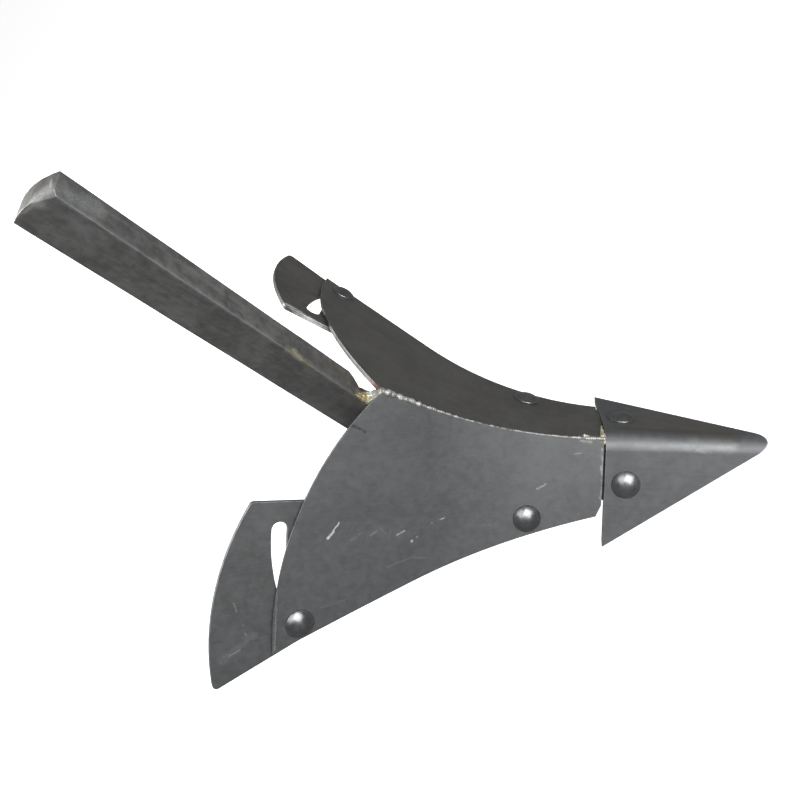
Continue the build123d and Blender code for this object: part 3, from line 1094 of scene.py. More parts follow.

# Scratches and scuffs of the working face, from the rear edge to the nose, and a painted highlight
# along the rear edge.
RIGHT_WING_MARKS = (
    # A short near-black mark on the wing beside the shank's foot.
    Mark((0.0136, -0.0288, -0.2006), (0.0171, -0.0300, -0.2120), 0.0024, SOOT_AND_SHADE, 0.85, STAIN, 0.45),
    Mark(
        (-0.0223, -0.0945, -0.2345), (-0.0274, -0.1009, -0.2338), 0.0012, BARE, 1.0, SCRATCH, 0.2
    ),
    Mark(
        (-0.0270, -0.1018, -0.2345), (-0.0318, -0.1066, -0.2334), 0.0018, BARE, 1.0, SCRATCH, 0.25
    ),
    # Painted highlight: a thin pale line along the rear edge, where the cut edge catches the
    # light.
    Mark(
        (-0.0700, -0.1505, -0.2215), (-0.0892, -0.1901, -0.2463), 0.0012, PALE, 0.75, SCRATCH, 0.4
    ),
    Mark(
        (-0.0700, -0.1502, -0.2225),
        (-0.0880, -0.1925, -0.2515),
        0.0030,
        (0.13, 0.12, 0.10),
        0.45,
        STAIN,
        0.5,
    ),
    Mark(
        (0.0926, -0.0389, -0.3608), (0.1002, -0.0347, -0.3633), 0.0013, RUBBED, 0.85, SCRATCH, 0.4
    ),
    Mark((0.1289, -0.0118, -0.3634), (0.1335, -0.0108, -0.3658), 0.0012, PALE, 0.8),
    Mark((0.1505, -0.0075, -0.3745), (0.1265, -0.0690, -0.4150), 0.0022, RUBBED, 0.9, STAIN, 0.3),
    Mark(
        (-0.0113, -0.0834, -0.2415),
        (-0.0061, -0.0880, -0.2600),
        0.0014,
        (0.21, 0.165, 0.155),
        0.5,
        STAIN,
        0.6,
    ),
    Mark(
        (-0.0232, -0.1045, -0.2513), (-0.0135, -0.0955, -0.2571), 0.0016, DUSTY, 0.6, SCRATCH, 0.6
    ),
    Mark(
        (-0.0130, -0.0975, -0.2640), (-0.0083, -0.0929, -0.2671), 0.0016, PALE, 0.7, SCRATCH, 0.5
    ),
    Mark(
        (-0.0158, -0.0998, -0.2613), (-0.0158, -0.0998, -0.2613), 0.0014, SOOT_AND_SHADE, 0.5, SCRATCH, 0.6
    ),
    Mark(
        (-0.0061, -0.0903, -0.2680), (-0.0045, -0.0935, -0.2765), 0.0013, DUSTY, 0.7, SCRATCH, 0.5
    ),
    Mark(
        (-0.0055, -0.0960, -0.2790), (-0.0020, -0.0930, -0.2800), 0.0012, DUSTY, 0.6, SCRATCH, 0.5
    ),
    Mark((-0.0006, -0.0919, -0.2848), (0.0038, -0.0878, -0.2884), 0.0013, BARE, 0.8, SCRATCH, 0.8),
    Mark((0.0043, -0.0932, -0.2999), (0.0043, -0.0932, -0.2999), 0.0019, BARE, 1.0, SCRATCH, 0.1),
    Mark(
        (0.0079, -0.0895, -0.3019), (0.0079, -0.0895, -0.3019), 0.0015, RUBBED, 1.0, SCRATCH, 0.2
    ),
    Mark((0.0195, -0.0770, -0.3068), (0.0195, -0.0770, -0.3068), 0.0013, PALE, 0.9, SCRATCH, 0.2),
    Mark((0.0245, -0.0727, -0.3115), (0.0271, -0.0713, -0.3135), 0.0012, BARE, 0.7, SCRATCH, 0.8),
    Mark(
        (-0.0153, -0.1157, -0.2929), (-0.0021, -0.1054, -0.3070), 0.0012, DUSTY, 0.6, SCRATCH, 0.6
    ),
    Mark(
        (-0.0002, -0.1045, -0.3090), (0.0050, -0.1026, -0.3192), 0.0014, DUSTY, 0.55, SCRATCH, 0.6
    ),
    Mark(
        (-0.0352, -0.1264, -0.2624), (-0.0200, -0.1140, -0.2680), 0.0009, DUSTY, 0.35, SCRATCH, 0.8
    ),
    Mark(
        (-0.0572, -0.1549, -0.2606), (-0.0442, -0.1456, -0.2761), 0.0010, DUSTY, 0.5, SCRATCH, 0.7
    ),
    Mark(
        (-0.02, -0.105, -0.25), (0.01, -0.085, -0.30), 0.022, (0.20, 0.20, 0.202), 0.3, STAIN, 0.9
    ),
    Mark((0.02, -0.075, -0.33), (0.06, -0.068, -0.355), 0.002, DUSTY, 0.45, STAIN, 0.9),
)

# Knocks along the outer edge.
RIGHT_EXTENSION_MARKS = (
    Mark((-0.1121, -0.1991, -0.2189), (-0.106, -0.1936, -0.2241), 0.0011, PALE, 0.8, SCRATCH, 0.4),
    Mark((-0.1166, -0.2040, -0.2166), (-0.0968, -0.1826, -0.2264), 0.0055, DUSTY, 0.4, STAIN, 0.7),
    Mark(
        (-0.0933, -0.1636, -0.1989), (-0.0948, -0.1685, -0.2046), 0.0012, PALE, 0.75, SCRATCH, 0.6
    ),
    Mark((-0.0967, -0.1763, -0.2148), (-0.0967, -0.1763, -0.2148), 0.0010, PALE, 0.8),
    Mark((-0.0985, -0.1815, -0.2199), (-0.099, -0.183, -0.222), 0.0010, PALE, 0.7),
)

# The bright cut edge beside the slot.
LEFT_EXTENSION_MARKS = (
    Mark(
        (-0.0562, 0.0983, -0.1688),
        (-0.0296, 0.0753, -0.2113),
        0.0052,
        (0.9, 0.9, 0.88),
        1.0,
        STAIN,
        0.1,
    ),
    Mark((-0.080, 0.150, -0.19), (-0.070, 0.142, -0.20), 0.0016, PALE, 0.5, SCRATCH, 0.7),
)


@dataclass
class Shank:
    """The upright flat bar, hot rolled, with a hammered top end.

    Attributes:
        edge_radius: Rounding of the long edges.
        slice_height, end_slice, cell: Distances between the cuts into cells.
        end_depth: How far down the hammering reaches.
        waviness, hammering: Depths of the rolled unevenness and of the dents.
        ground_top, ground_full, ground_foot: Heights of the ground corner.
        ground_leg: Width of the ground corner where it is widest.
    """

    edge_radius: float = 0.0014
    slice_height: float = 0.006
    end_slice: float = 0.0015
    end_depth: float = 0.014
    cell: float = 0.003
    waviness: float = 0.00018
    hammering: float = 0.00035
    ground_top: float = -0.176
    ground_full: float = -0.197
    ground_foot: float = -0.216
    ground_leg: float = 0.012

    def build(self) -> bpy.types.Object:
        """Rounds and cuts the bar into cells, then beats its end.

        Returns:
            The piece.
        """
        low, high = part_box("shank")
        work = merged_copy("shank")
        soften_edges(work, self.edge_radius, 3, 20.0)
        cuts = [
            (Vector((0, 0, 1)), z) for z in np.arange(
                low.z + self.slice_height, high.z - self.end_depth, self.slice_height
            )
        ]
        cuts += [
            (Vector((0, 0, 1)), z) for z in np.arange(
                high.z - self.end_depth, high.z, self.end_slice
            )
        ]
        cuts += [
            (Vector((0, 0, 1)), z) for z in np.arange(
                self.ground_foot, self.ground_top, self.end_slice
            )
        ]
        cuts += [
            (Vector((1, 0, 0)), x) for x in np.arange(low.x + self.cell, high.x - 0.001, self.cell)
        ]
        cuts += [
            (Vector((0, 1, 0)), y) for y in np.arange(low.y + self.cell, high.y - 0.001, self.cell)
        ]
        for normal, at in cuts:
            geometry = work.verts[:] + work.edges[:] + work.faces[:]
            bmesh.ops.bisect_plane(
                work, geom=geometry, plane_co=normal * float(at), plane_no=normal, dist=1e-6
            )
        bmesh.ops.remove_doubles(work, verts=work.verts, dist=2e-5)
        work.normal_update()
        for vertex in work.verts:
            end = max(0.0, 1.0 - (high.z - vertex.co.z) / self.end_depth)
            wave = self.waviness * noise.noise(vertex.co * 24.0)
            dents = self.hammering * end * abs(noise.noise(vertex.co * 130.0 + Vector((3, 1, 4))))
            vertex.co += vertex.normal * (wave - dents)
            self.grind(vertex, high)
        return as_piece(work, "shank_bar")

    def grind(self, vertex: bmesh.types.BMVert, high: Vector) -> None:
        """Takes the left front corner off above the head weld, where it was ground for welding.

        Args:
            vertex: Vertex to move.
            high: Highest corner of the bar's box.
        """
        depths = (self.ground_foot, self.ground_full, self.ground_top)
        leg = self.ground_leg * float(np.interp(vertex.co.z, depths, (0.6, 1.0, 0.0))) ** 1.5
        past = vertex.co.x + vertex.co.y - (high.x + high.y - leg)
        if past > 0 and vertex.co.z > self.ground_foot:
            vertex.co += Vector((-past / 2, -past / 2, 0.0))

    def finish(self) -> SteelFinish:
        """The bar's scuffed dark finish.

        Returns:
            The finish.
        """
        return SteelFinish(
            "shank_scale",
            light=(0.232, 0.233, 0.228),
            dark=(0.116, 0.117, 0.114),
            warm=(0.12, 0.10, 0.068),
            warm_share=0.3,
            rubbed_width=0.0016,
            smooth=0.42,
            rough=0.62,
            grain=(0.0, 0.0, 1.0),
            grain_share=0.16,
            rubbed_share=0.45,
            speckle_share=0.4,
            hairline_axes=((0.05, 0.05, 1.0), (0.2, 0.3, 0.8)),
            hairlines=0.5,
            relief=0.00012,
            seed=1.0,
            marks=SHANK_MARKS,
        )

    def dress(self, piece: bpy.types.Object) -> None:
        """Dresses the bar.

        Args:
            piece: The piece from build.
        """
        dress(piece, self.finish().make(), Slot.SHANK, body_of("shank"), "shank")


@dataclass
class Plate:
    """One plate taken from the CAD frame, with its cut edges broken.

    Attributes:
        node: CAD node that it replaces.
        name: Name of the piece.
        slot: Its material slot.
        finish: Its finish.
        edge_width: Width of the broken edge.
        corner: Middle and outward direction of a cut across a corner, if it has one.
    """

    node: str
    name: str
    slot: Slot
    finish: SteelFinish
    edge_width: float = 0.00045
    corner: tuple[Point, Point] | None = None

    def build(self) -> bpy.types.Object:
        """Copies the plate, cuts its corner where it has one and breaks its edges.

        Returns:
            The piece.
        """
        work = merged_copy(self.node)
        if self.corner:
            geometry = work.verts[:] + work.edges[:] + work.faces[:]
            place, outward = self.corner
            cut = bmesh.ops.bisect_plane(
                work, geom=geometry, plane_co=place, plane_no=outward, clear_outer=True
            )
            edges = [e for e in cut["geom_cut"] if isinstance(e, bmesh.types.BMEdge)]
            bmesh.ops.contextual_create(work, geom=edges)
        soften_edges(work, self.edge_width)
        bmesh.ops.recalc_face_normals(work, faces=work.faces)
        return as_piece(work, self.name)

    def dress(self, piece: bpy.types.Object) -> None:
        """Dresses the plate.

        Args:
            piece: The piece from build.
        """
        dress(piece, self.finish.make(), self.slot, body_of(self.node), self.node)


@dataclass
class WorkingPlates:
    """The share, the two rolled wings and the two extension wings."""

    rolling: Point = (-0.59, -0.29, 0.76)

    def share(self) -> Plate:
        """The bent share.

        Returns:
            The plate.
        """
        finish = SteelFinish(
            "share_scale",
            light=(0.168, 0.174, 0.180),
            dark=(0.126, 0.131, 0.137),
            warm=(0.10, 0.09, 0.07),
            warm_share=0.12,
            rubbed=RUBBED,
            metallic=0.62,
            smooth=0.47,
            rough=0.6,
            grain=(0.85, 0.0, -0.52),
            grain_share=0.2,
            speckle_share=0.18,
            hairlines=0.35,
            seed=2.0,
            marks=SHARE_MARKS,
        )
        return Plate("share", "share_plate", Slot.SHARE, finish, 0.0005)

    def wing_marks(self, side: Side) -> tuple[Mark, ...]:
        """Scratches, scuffs and heat colours of one wing, with painted shade on the left wing's
        rear edge and a painted highlight on the right wing's rear edge.

        Args:
            side: Which wing.

        Returns:
            The marks.
        """
        sign = side.sign
        near_ridge = (
            Mark(
                (0.0348, 0.0, -0.2126),
                (0.020, sign * 0.012, -0.205),
                0.0030,
                ASH,
                0.95,
                STAIN,
                0.3,
            ),
            Mark(
                (0.150, sign * 0.001, -0.369),
                (0.156, sign * 0.004, -0.375),
                0.0035,
                STRAW,
                0.7,
                STAIN,
                0.6,
            ),
            Mark(
                (0.138, sign * 0.002, -0.361),
                (0.143, sign * 0.003, -0.366),
                0.0022,
                ASH,
                0.7,
                STAIN,
                0.6,
            ),
        )
        if side is Side.LEFT:
            return near_ridge + LEFT_WING_MARKS
        return near_ridge + RIGHT_WING_MARKS

    def wing(self, side: Side) -> Plate:
        """One rolled wing.

        Args:
            side: Which wing.

        Returns:
            The plate.
        """
        finish = SteelFinish(
            "wing_scale_" + side.value,
            light=(0.154, 0.158, 0.162) if side is Side.RIGHT else (0.168, 0.166, 0.160),
            dark=(0.119, 0.123, 0.127) if side is Side.RIGHT else (0.114, 0.112, 0.107),
            warm=(0.10, 0.092, 0.075),
            warm_share=0.14 if side is Side.RIGHT else 0.3,
            smooth=0.4,
            rough=0.54,
            grain=(self.rolling[0], self.rolling[1] * -side.sign, self.rolling[2]),
            grain_share=0.22,
            speckle_share=0.2,
            hairlines=0.34,
            hairline_axes=((0.55, 0.75 * -side.sign, 0.2), (0.5, 0.1, -0.8), (0.1, 0.6, -0.75)),
            seed=4.0 if side is Side.RIGHT else 5.0,
            marks=self.wing_marks(side),
        )
        foot = (
            (0.1315, -0.0509, -0.4020), (0.659, -0.325, -0.679)
        ) if side is Side.RIGHT else None
        return Plate(
            "wing_" + side.value, "wing_plate_" + side.value, Slot.WING, finish, corner=foot
        )

    def extension(self, side: Side) -> Plate:
        """One extension wing.

        Args:
            side: Which extension wing.

        Returns:
            The plate.
        """
        finish = SteelFinish(
            "extension_scale_" + side.value,
            light=(0.142, 0.145, 0.148) if side is Side.RIGHT else (0.175, 0.171, 0.162),
            dark=(0.108, 0.111, 0.113) if side is Side.RIGHT else (0.104, 0.102, 0.095),
            warm_share=0.2 if side is Side.RIGHT else 0.3,
            smooth=0.42,
            rough=0.58,
            grain=(self.rolling[0], self.rolling[1] * -side.sign, self.rolling[2]),
            speckle_share=0.26 if side is Side.RIGHT else 0.45,
            hairlines=0.45,
            hairline_axes=((0.2, 0.75 * -side.sign, -0.55), (0.5, 0.1, -0.8)),
            seed=6.0 if side is Side.RIGHT else 7.0,
            marks=RIGHT_EXTENSION_MARKS if side is Side.RIGHT else LEFT_EXTENSION_MARKS,
        )
        return Plate("extension_" + side.value, "extension_plate_" + side.value, Slot.WING, finish)

    def brackets(self) -> list[Plate]:
        """The frog behind the working faces, and the upright web.

        Returns:
            The plates.
        """
        finish = SteelFinish(
            "bracket_scale",
            light=(0.125, 0.125, 0.122),
            dark=(0.07, 0.07, 0.068),
            warm=(0.12, 0.075, 0.04),
            warm_share=0.45,
            smooth=0.5,
            rough=0.7,
            speckle_share=0.4,
            relief=0.0001,
            seed=8.0,
        )
        web = replace(finish, name="web_scale", seed=9.0)
        return [
            Plate("frog", "frog_plate", Slot.BRACKET, finish, 0.0006),
            Plate("web", "web_plate", Slot.BRACKET, web, 0.0006),
        ]

    def build(self) -> None:
        """Builds and dresses every plate."""
        plates = [self.share(), *self.brackets()]
        for side in Side:
            plates += [self.wing(side), self.extension(side)]
        for plate in plates:
            plate.dress(plate.build())


@dataclass
class CarriageBolt:
    """A carriage bolt with a domed head, a square neck and a rolled thread.

    Attributes:
        seat: Which bolt it is: share, wing or clamp.
        side: Which side it is on.
        neck_depth: Depth of the square neck.
        crest_start, crest_end, root_end: Ends of the tooth's sides, in pitches.
        run_out: Pitches of the threaded length left without a tooth.
    """

    seat: str
    side: Side
    neck_depth: float
    head_radius: float = 0.0124
    head_height: float = 0.0054
    rim_height: float = 0.0010
    neck_side: float = 0.0099
    core_radius: float = 0.00425
    thread_radius: float = 0.00492
    pitch: float = 0.0015
    thread_length: float = 0.017
    crest_start: float = 0.40
    crest_end: float = 0.52
    root_end: float = 0.94
    run_out: float = 1.9
    steps_per_turn: int = 32

    def node(self, part: str) -> str:
        """CAD node of one of the fastener's parts.

        Args:
            part: bolt, washer, spring_washer or nut.

        Returns:
            The node's name.
        """
        return f"{self.seat}_{part}_{self.side.value}"

    def axle(self) -> Axle:
        """The bolt's axis, pointing out through its head.

        Returns:
            The axis.
        """
        washer, nut = middle_of(self.node("washer")), middle_of(self.node("nut"))
        return Axle.of_washer(self.node("washer"), washer + (washer - nut))

    def head(self, work: bmesh.types.BMesh) -> None:
        """Adds the dome, cut from a sphere, and its rim.

        Args:
            work: Mesh to add to, with the seat at Z = 0.
        """
        rise = self.head_height - self.rim_height
        sphere = (self.head_radius**2 + rise**2) / (2 * rise)
        part = bmesh.new()
        bmesh.ops.create_uvsphere(part, u_segments=72, v_segments=72, radius=sphere)
        bmesh.ops.translate(part, verts=part.verts, vec=(0, 0, self.head_height - sphere))
        geometry = part.verts[:] + part.edges[:] + part.faces[:]
        bmesh.ops.bisect_plane(
            part,
            geom=geometry,
            plane_co=(0, 0, self.rim_height),
            plane_no=(0, 0, 1),
            clear_inner=True,
        )
        rim = [e for e in part.edges if e.is_boundary]
        pulled = bmesh.ops.extrude_edge_only(part, edges=rim)["geom"]
        for vertex in (v for v in pulled if isinstance(v, bmesh.types.BMVert)):
            vertex.co.z = 0.0
        bmesh.ops.contextual_create(part, geom=[e for e in part.edges if e.is_boundary])
        bmesh.ops.recalc_face_normals(part, faces=part.faces)
        soften_edges(part, 0.00035, 3, 25.0)
        for vertex in part.verts:
            if vertex.co.z > self.rim_height:
                vertex.co.z += 0.00006 * noise.noise(
                    vertex.co * 190.0 + Vector((self.side.sign, len(self.seat), 0))
                )
        join_meshes(work, part)

    def neck(self, work: bmesh.types.BMesh) -> None:
        """Adds the square neck.

        Args:
            work: Mesh to add to.
        """
        part = bmesh.new()
        shape = Matrix.Translation((0, 0, -self.neck_depth / 2)) @ Matrix.Diagonal(
            (self.neck_side, self.neck_side, self.neck_depth, 1.0)
        )
        bmesh.ops.create_cube(part, size=1.0, matrix=shape)
        soften_edges(part, 0.0005, 2)
        join_meshes(work, part)

    def rod(self, work: bmesh.types.BMesh, length: float) -> None:
        """Adds the rod and its thread.

        Args:
            work: Mesh to add to.
            length: Length under the head.
        """
        part = bmesh.new()
        plain = length - self.thread_length
        for radius, top, bottom in (
            (self.thread_radius, 0.0, plain), (self.core_radius, plain * 0.9, length)
        ):
            place = Matrix.Translation((0, 0, -(top + bottom) / 2))
            bmesh.ops.create_cone(
                part,
                cap_ends=True,
                segments=40,
                radius1=radius,
                radius2=radius,
                depth=bottom - top,
                matrix=place,
            )
        soften_edges(part, 0.0004, 2, 60.0)
        join_meshes(work, part)
        self.thread(work, length)

    def thread(self, work: bmesh.types.BMesh, length: float) -> None:
        """Spins one tooth down the rod as a helix.

        Args:
            work: Mesh to add to.
            length: Length under the head.
        """
        part = bmesh.new()
        start = -(length - self.thread_length)
        inner, outer, tooth = self.core_radius - 0.0001, self.thread_radius, self.pitch
        shape = [
            (inner, 0.0),
            (outer, -self.crest_start * tooth),
            (outer, -self.crest_end * tooth),
            (inner, -self.root_end * tooth),
        ]
        corners = [part.verts.new((x, 0.0, start + z)) for x, z in shape]
        loop = [part.edges.new((a, b)) for a, b in zip(corners, corners[1:] + corners[:1])]
        turns = (self.thread_length - self.run_out * self.pitch) / self.pitch
        steps = round(turns * self.steps_per_turn)
        bmesh.ops.spin(
            part,
            geom=corners + loop,
            axis=(0, 0, 1),
            cent=(0, 0, 0),
            dvec=(0, 0, -self.pitch * turns / steps),
            angle=math.tau * turns,
            steps=steps,
        )
        bmesh.ops.holes_fill(part, edges=[e for e in part.edges if e.is_boundary], sides=4)
        bmesh.ops.recalc_face_normals(part, faces=part.faces)
        join_meshes(work, part)

    def build(self) -> bpy.types.Object:
        """Builds the bolt in its hole.

        Returns:
            The piece.
        """
        axle = self.axle()
        low, high = axle.reach(self.node("bolt"))
        work = bmesh.new()
        self.head(work)
        self.neck(work)
        self.rod(work, high - low - self.head_height)
        bmesh.ops.transform(work, verts=work.verts, matrix=axle.placing(high - self.head_height))
        return as_piece(work, self.node("bolt") + "_threaded", sharp=40.0)

    def dress(self, piece: bpy.types.Object, finish: bpy.types.Material) -> None:
        """Dresses the bolt.

        Args:
            piece: The piece from build.
            finish: Material of the bolts.
        """
        dress(piece, finish, Slot.FASTENER, body_of(self.node("bolt")), self.node("bolt"))

    def rings(self, nut_finish: bpy.types.Material, washer_finish: bpy.types.Material) -> None:
        """Builds and dresses the nut and the washers, with their edges broken.

        Args:
            nut_finish: Material of the nuts.
            washer_finish: Material of the washers.
        """
        for part, width, finish in (
            ("nut", 0.0003, nut_finish),
            ("washer", 0.0002, washer_finish),
            ("spring_washer", 0.00035, nut_finish),
        ):
            node = self.node(part)
            work = merged_copy(node, 0.1)
            soften_edges(work, width, 2, 24.0)
            bmesh.ops.recalc_face_normals(work, faces=work.faces)
            piece = as_piece(work, node + "_turned", sharp=40.0)
            dress(piece, finish, Slot.FASTENER, body_of(node), node)


@dataclass
class Fasteners:
    """The six carriage bolts with their nuts and washers."""

    share_neck: float = 0.0046
    wing_neck: float = 0.0036

    def finish(self, name: str, seed: float) -> SteelFinish:
        """Finish of the fasteners.

        Args:
            name: Name of the material.
            seed: Chooses the pattern.

        Returns:
            The finish.
        """
        return SteelFinish(
            name,
            light=(0.27, 0.274, 0.28),
            dark=(0.165, 0.168, 0.173),
            warm=(0.13, 0.09, 0.06),
            warm_share=0.25,
            rubbed=(0.42, 0.42, 0.42),
            rubbed_width=0.0006,
            rubbed_share=0.6,
            metallic=0.9,
            smooth=0.22,
            rough=0.34,
            grain_share=0.1,
            speckle_share=0.22,
            hairlines=0.6,
            relief=0.00004,
            seed=seed,
        )

    def build(self) -> None:
        """Builds and dresses every fastener."""
        bolts = self.finish("bolt_black", 11.0).make()
        nuts = replace(self.finish("nut_black", 12.0), smooth=0.32, rough=0.5).make()
        washers = replace(
            self.finish("washer_grey", 13.0), light=(0.30, 0.30, 0.30), dark=(0.18, 0.18, 0.18)
        ).make()
        for seat, neck in (
            ("share", self.share_neck), ("wing", self.wing_neck), ("clamp", self.wing_neck)
        ):
            for side in Side:
                bolt = CarriageBolt(seat, side, neck)
                bolt.dress(bolt.build(), bolts)
                bolt.rings(nuts, washers)


@dataclass
class Welds:
    """The ridge bead, the built-up head weld, the web's fillets and the tack spots."""

    ridge_radius: float = 0.0022
    ridge_sizes: tuple[float, ...] = (1.2, 1.0, 0.58, 0.42, 0.38, 0.38, 0.42, 0.6, 1.0)
    left_share: float = 0.15
    ridge_depth: float = 0.0004
    fillet_radius: float = 0.0034

    def ridge(self) -> bpy.types.Object:
        """The thin bead along the ridge between the wings.

        Returns:
            The piece.
        """
        inward = Vector((-0.65, 0.0, -0.76))
        path = [p + inward * self.ridge_depth for p in ridge_line()]
        run = WeldRun(
            "ridge_bead", pitch=0.0016, radius=self.ridge_radius, unevenness=0.5, passes=4
        )
        return run.fused(run.drops(path, 1.0, self.ridge_sizes))

    def head(self) -> bpy.types.Object:
        """The lumpy weld between the shank's front face and the top of the nose.

        Returns:
            The piece.
        """
        run = WeldRun(
            "head_build_up", pitch=0.0012, radius=0.0021, unevenness=0.35, voxel=0.0004, passes=6
        )
        top = ridge_line()[0]
        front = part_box("shank")[1].x
        work = merged_copy("head_weld")
        for vertex in work.verts:
            if vertex.co.y > 0:
                vertex.co.y *= self.left_share
        rows = (
            (
                (front - 0.0006, -0.0074, top.z + 0.016),
                (front + 0.0003, -0.0074, top.z + 0.006),
                (front + 0.0015, -0.0076, top.z - 0.004),
            ),
            (
                (front - 0.0008, -0.0045, top.z + 0.014),
                (front + 0.0006, -0.0048, top.z + 0.005),
                (front + 0.0030, -0.0046, top.z - 0.001),
            ),
            (
                (front - 0.0010, -0.0020, top.z + 0.010),
                (front + 0.0006, -0.0024, top.z + 0.003),
                (front + 0.0035, -0.0020, top.z - 0.001),
            ),
        )
        for number, row in enumerate(rows):
            join_meshes(work, run.drops([Vector(p) for p in row], 2.0 + number, (0.45, 0.95, 0.8)))
        return run.fused(work, 0.00025)

    def head_fillet(self) -> bpy.types.Object:
        """The smooth run from the shank's face to the ridge's top, coloured near-white in build as
        a painted highlight.

        Returns:
            The piece.
        """
        run = WeldRun(
            "head_fillet", pitch=0.0011, radius=0.0021, unevenness=0.2, voxel=0.0004, passes=8
        )
        top = ridge_line()[0]
        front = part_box("shank")[1].x
        work = bmesh.new()
        rows = (
            (
                (front + 0.0008, -0.0068, top.z + 0.001),
                (front + 0.0050, -0.0052, top.z + 0.000),
                (top.x - 0.001, -0.0006, top.z),
            ),
            (
                (front + 0.0006, -0.0036, top.z + 0.004),
                (front + 0.0050, -0.0022, top.z + 0.001),
                (top.x - 0.001, 0.0002, top.z),
            ),
            (
                (front - 0.0006, -0.0010, top.z + 0.005),
                (front + 0.0045, -0.0002, top.z + 0.001),
                (top.x - 0.0005, 0.0010, top.z - 0.0004),
            ),
        )
        for number, row in enumerate(rows):
            join_meshes(work, run.drops([Vector(p) for p in row], 12.0 + number, (0.8, 0.75, 0.9)))
        return run.fused(work, 0.0002)

    def fillet(self, side: Side) -> bpy.types.Object:
        """One fillet between the shank and the web.

        Args:
            side: Which side.

        Returns:
            The piece.
        """
        node = "web_weld_" + side.value
        low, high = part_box(node)
        inner_y = min((low.y, high.y), key=abs)
        centre = Vector((low.x + 0.0011, inner_y + side.sign * 0.0011, 0.0))
        inset = self.fillet_radius * 0.6
        path = [
            Vector((centre.x, centre.y, low.z + inset)),
            Vector((centre.x, centre.y, high.z - inset)),
        ]
        run = WeldRun(
            "web_fillet_" + side.value, pitch=0.0024, radius=self.fillet_radius, voxel=0.0006
        )
        return run.fused(run.drops(path, 9.0 + side.sign))

    def tacks(self) -> bpy.types.Object:
        """Small tack and spatter spots where the share meets the nose.

        Returns:
            The piece.
        """
        run = WeldRun(
            "nose_tacks", pitch=0.0011, radius=0.0029, unevenness=0.5, voxel=0.00035, passes=2
        )
        work = bmesh.new()
        paths = (
            [
                Vector((0.1465, 0.0200, -0.3820)),
                Vector((0.1508, 0.0080, -0.3738)),
                Vector((0.1530, 0.0010, -0.3698)),
            ],
            [Vector((0.1532, 0.0008, -0.3700)), Vector((0.1537, -0.0045, -0.3742))],
            [Vector((0.1385, 0.0030, -0.3628)), Vector((0.1430, 0.0025, -0.3668))],
        )
        for number, path in enumerate(paths):
            join_meshes(
                work,
                run.drops(path, 4.0 * number, (0.25, 0.5, 0.95) if number == 0 else (0.85, 0.4)),
            )
        return run.fused(work, 0.0002)

    def gap_run(self) -> bpy.types.Object:
        """The root run in the gap behind the share's left rear edge, a weld run coloured
        near-black in build as painted shade in the gap.

        Returns:
            The piece.
        """
        run = WeldRun("left_gap_run", pitch=0.0016, radius=0.0017, unevenness=0.15)
        path = [
            Vector((0.1345, 0.0475, -0.4010)),
            Vector((0.1400, 0.0340, -0.3925)),
            Vector((0.1490, 0.0120, -0.3790)),
        ]
        return run.fused(run.drops(path, 6.0, (0.8, 1.0, 0.9)))

    def build(self) -> None:
        """Builds and dresses every weld."""
        bead = WeldFinish(
            "ridge_bead_metal",
            bright=(0.6, 0.6, 0.58),
            dull=(0.10, 0.10, 0.098),
            straw_share=0.1,
            brown_share=0.3,
            seed=20.0,
        ).make()
        head = WeldFinish(
            "head_weld_metal",
            bright=(0.5, 0.47, 0.34),
            dull=(0.2, 0.17, 0.09),
            straw_share=0.8,
            brown_share=0.45,
            seed=24.0,
        ).make()
        # Painted highlight: the head fillet's near-white colour stands for light caught on it.
        pale = WeldFinish(
            "head_fillet_painted_highlight",
            bright=(0.66, 0.66, 0.6),
            dull=(0.4, 0.4, 0.34),
            straw_share=0.25,
            brown_share=0.15,
            seed=26.0,
        ).make()
        fillet = WeldFinish(
            "fillet_metal", bright=(0.3, 0.29, 0.27), straw_share=0.4, seed=28.0
        ).make()
        tack = WeldFinish(
            "tack_metal",
            bright=(0.95, 0.92, 0.76),
            dull=(0.6, 0.53, 0.33),
            straw_share=0.35,
            brown_share=0.12,
            seed=32.0,
        ).make()
        root = body_of("shank")
        dress(self.ridge(), bead, Slot.WELD, root, "nose_weld")
        dress(self.head(), head, Slot.WELD, root, "head_weld")
        dress(self.head_fillet(), pale, Slot.WELD, root)
        for side in Side:
            dress(self.fillet(side), fillet, Slot.WELD, root, "web_weld_" + side.value)
        dress(self.tacks(), tack, Slot.WELD, root)
        # Painted shade: the gap run's near-black colour stands for the shade in the gap.
        gap_shade_finish = WeldFinish(
            "gap_run_painted_shade",
            bright=(0.16, 0.15, 0.12),
            dull=(0.05, 0.05, 0.045),
            straw_share=0.1,
            brown_share=0.3,
            seed=36.0,
        ).make()
        dress(self.gap_run(), gap_shade_finish, Slot.WELD, root)


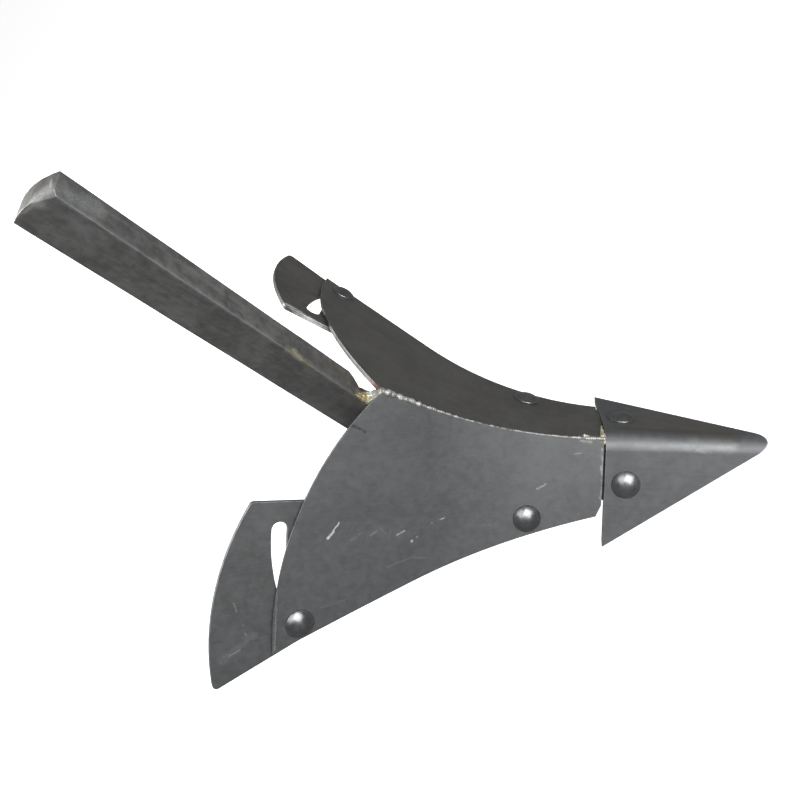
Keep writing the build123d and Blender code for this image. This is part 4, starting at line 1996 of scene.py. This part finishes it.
@dataclass
class Studio:
    """Pale floor, soft lights and the camera."""

    floor_size: float = 16.0
    floor_gap: float = 0.001
    camera_place: Point = (0.4125, -0.3210, 0.2289)
    camera_right: Point = (0.7953, 0.0735, -0.6017)
    camera_up: Point = (0.2387, 0.8745, 0.4223)
    camera_back: Point = (0.5573, -0.4795, 0.6779)
    lens: float = 36.29
    sensor_width: float = 36.0
    clip_near: float = 0.01
    clip_far: float = 50.0
    key_direction: Point = (0.80, -0.36, 0.46)
    key_power: float = 27.5
    glint_direction: Point = (0.75, -0.26, 0.61)
    glint_power: float = 5.0
    top_direction: Point = (0.30, -0.45, 0.85)
    top_power: float = 16.0
    back_direction: Point = (-0.86, 0.12, 0.42)
    back_power: float = 42.0
    near_distance: float = 1.9
    far_distance: float = 2.0
    key_size: float = 1.3
    glint_size: float = 0.4
    broad_size: float = 1.4
    sky: float = 0.21
    backdrop: float = 1.0

    def floor(self) -> None:
        """Lays the floor under the object."""
        work = bmesh.new()
        bmesh.ops.create_grid(work, x_segments=1, y_segments=1, size=self.floor_size / 2)
        bmesh.ops.translate(work, verts=work.verts, vec=(0, 0, CAD_BOX[0].z - self.floor_gap))
        mesh = bpy.data.meshes.new("floor")
        work.to_mesh(mesh)
        work.free()
        floor = bpy.data.objects.new("floor", mesh)
        bpy.context.scene.collection.objects.link(floor)
        mesh.materials.append(FloorFinish().make())
        floor.visible_diffuse = floor.visible_glossy = False

    def lamp(
        self, name: str, direction: Sequence[float], distance: float, size: float, power: float
    ) -> None:
        """Hangs a square soft light that faces the object.

        Args:
            name: Name of the lamp.
            direction: Direction towards it from the object's middle.
            distance: Distance from the middle.
            size: Side of the light.
            power: Power in watts.
        """
        middle = (CAD_BOX[0] + CAD_BOX[1]) / 2
        data = bpy.data.lights.new(name, "AREA")
        data.shape, data.size, data.energy = "SQUARE", size, power
        lamp = bpy.data.objects.new(name, data)
        lamp.location = middle + Vector(direction).normalized() * distance
        lamp.rotation_euler = Vector(direction).to_track_quat("Z", "Y").to_euler()
        bpy.context.scene.collection.objects.link(lamp)

    def lights(self) -> None:
        """Sets the lamps and the sky."""
        self.lamp("key", self.key_direction, self.near_distance, self.key_size, self.key_power)
        self.lamp(
            "glint", self.glint_direction, self.near_distance, self.glint_size, self.glint_power
        )
        self.lamp("top", self.top_direction, self.far_distance, self.broad_size, self.top_power)
        self.lamp("back", self.back_direction, self.far_distance, self.broad_size, self.back_power)
        world = bpy.data.worlds.new("sky")
        world.use_nodes = True
        nodes, links = world.node_tree.nodes, world.node_tree.links
        background = nodes["Background"]
        background.inputs["Color"].default_value = (1.0, 1.0, 1.0, 1.0)
        seen = nodes.new("ShaderNodeMapRange")
        seen.inputs["To Min"].default_value, seen.inputs[
            "To Max"
        ].default_value = self.sky, self.backdrop
        links.new(nodes.new("ShaderNodeLightPath").outputs["Is Camera Ray"], seen.inputs["Value"])
        links.new(seen.outputs[0], background.inputs["Strength"])
        bpy.context.scene.world = world

    def camera(self) -> None:
        """Sets the camera."""
        data = bpy.data.cameras.new("camera")
        data.sensor_width, data.lens = self.sensor_width, self.lens
        data.clip_start, data.clip_end = self.clip_near, self.clip_far
        camera = bpy.data.objects.new("camera", data)
        turn = Matrix((self.camera_right, self.camera_up, self.camera_back)).transposed().to_4x4()
        camera.matrix_world = Matrix.Translation(self.camera_place) @ turn
        bpy.context.scene.collection.objects.link(camera)
        bpy.context.scene.camera = camera

    def build(self) -> None:
        """Sets the whole studio."""
        bpy.context.scene.view_settings.view_transform = "Standard"
        self.floor()
        self.lights()
        self.camera()


def main() -> None:
    """Builds every sub-assembly in order."""
    logging.basicConfig(level=logging.INFO, format="%(name)s: %(message)s", force=True)
    Studio().build()
    shank = Shank()
    shank.dress(shank.build())
    WorkingPlates().build()
    Fasteners().build()
    Welds().build()


if __name__ == "__main__":
    main()
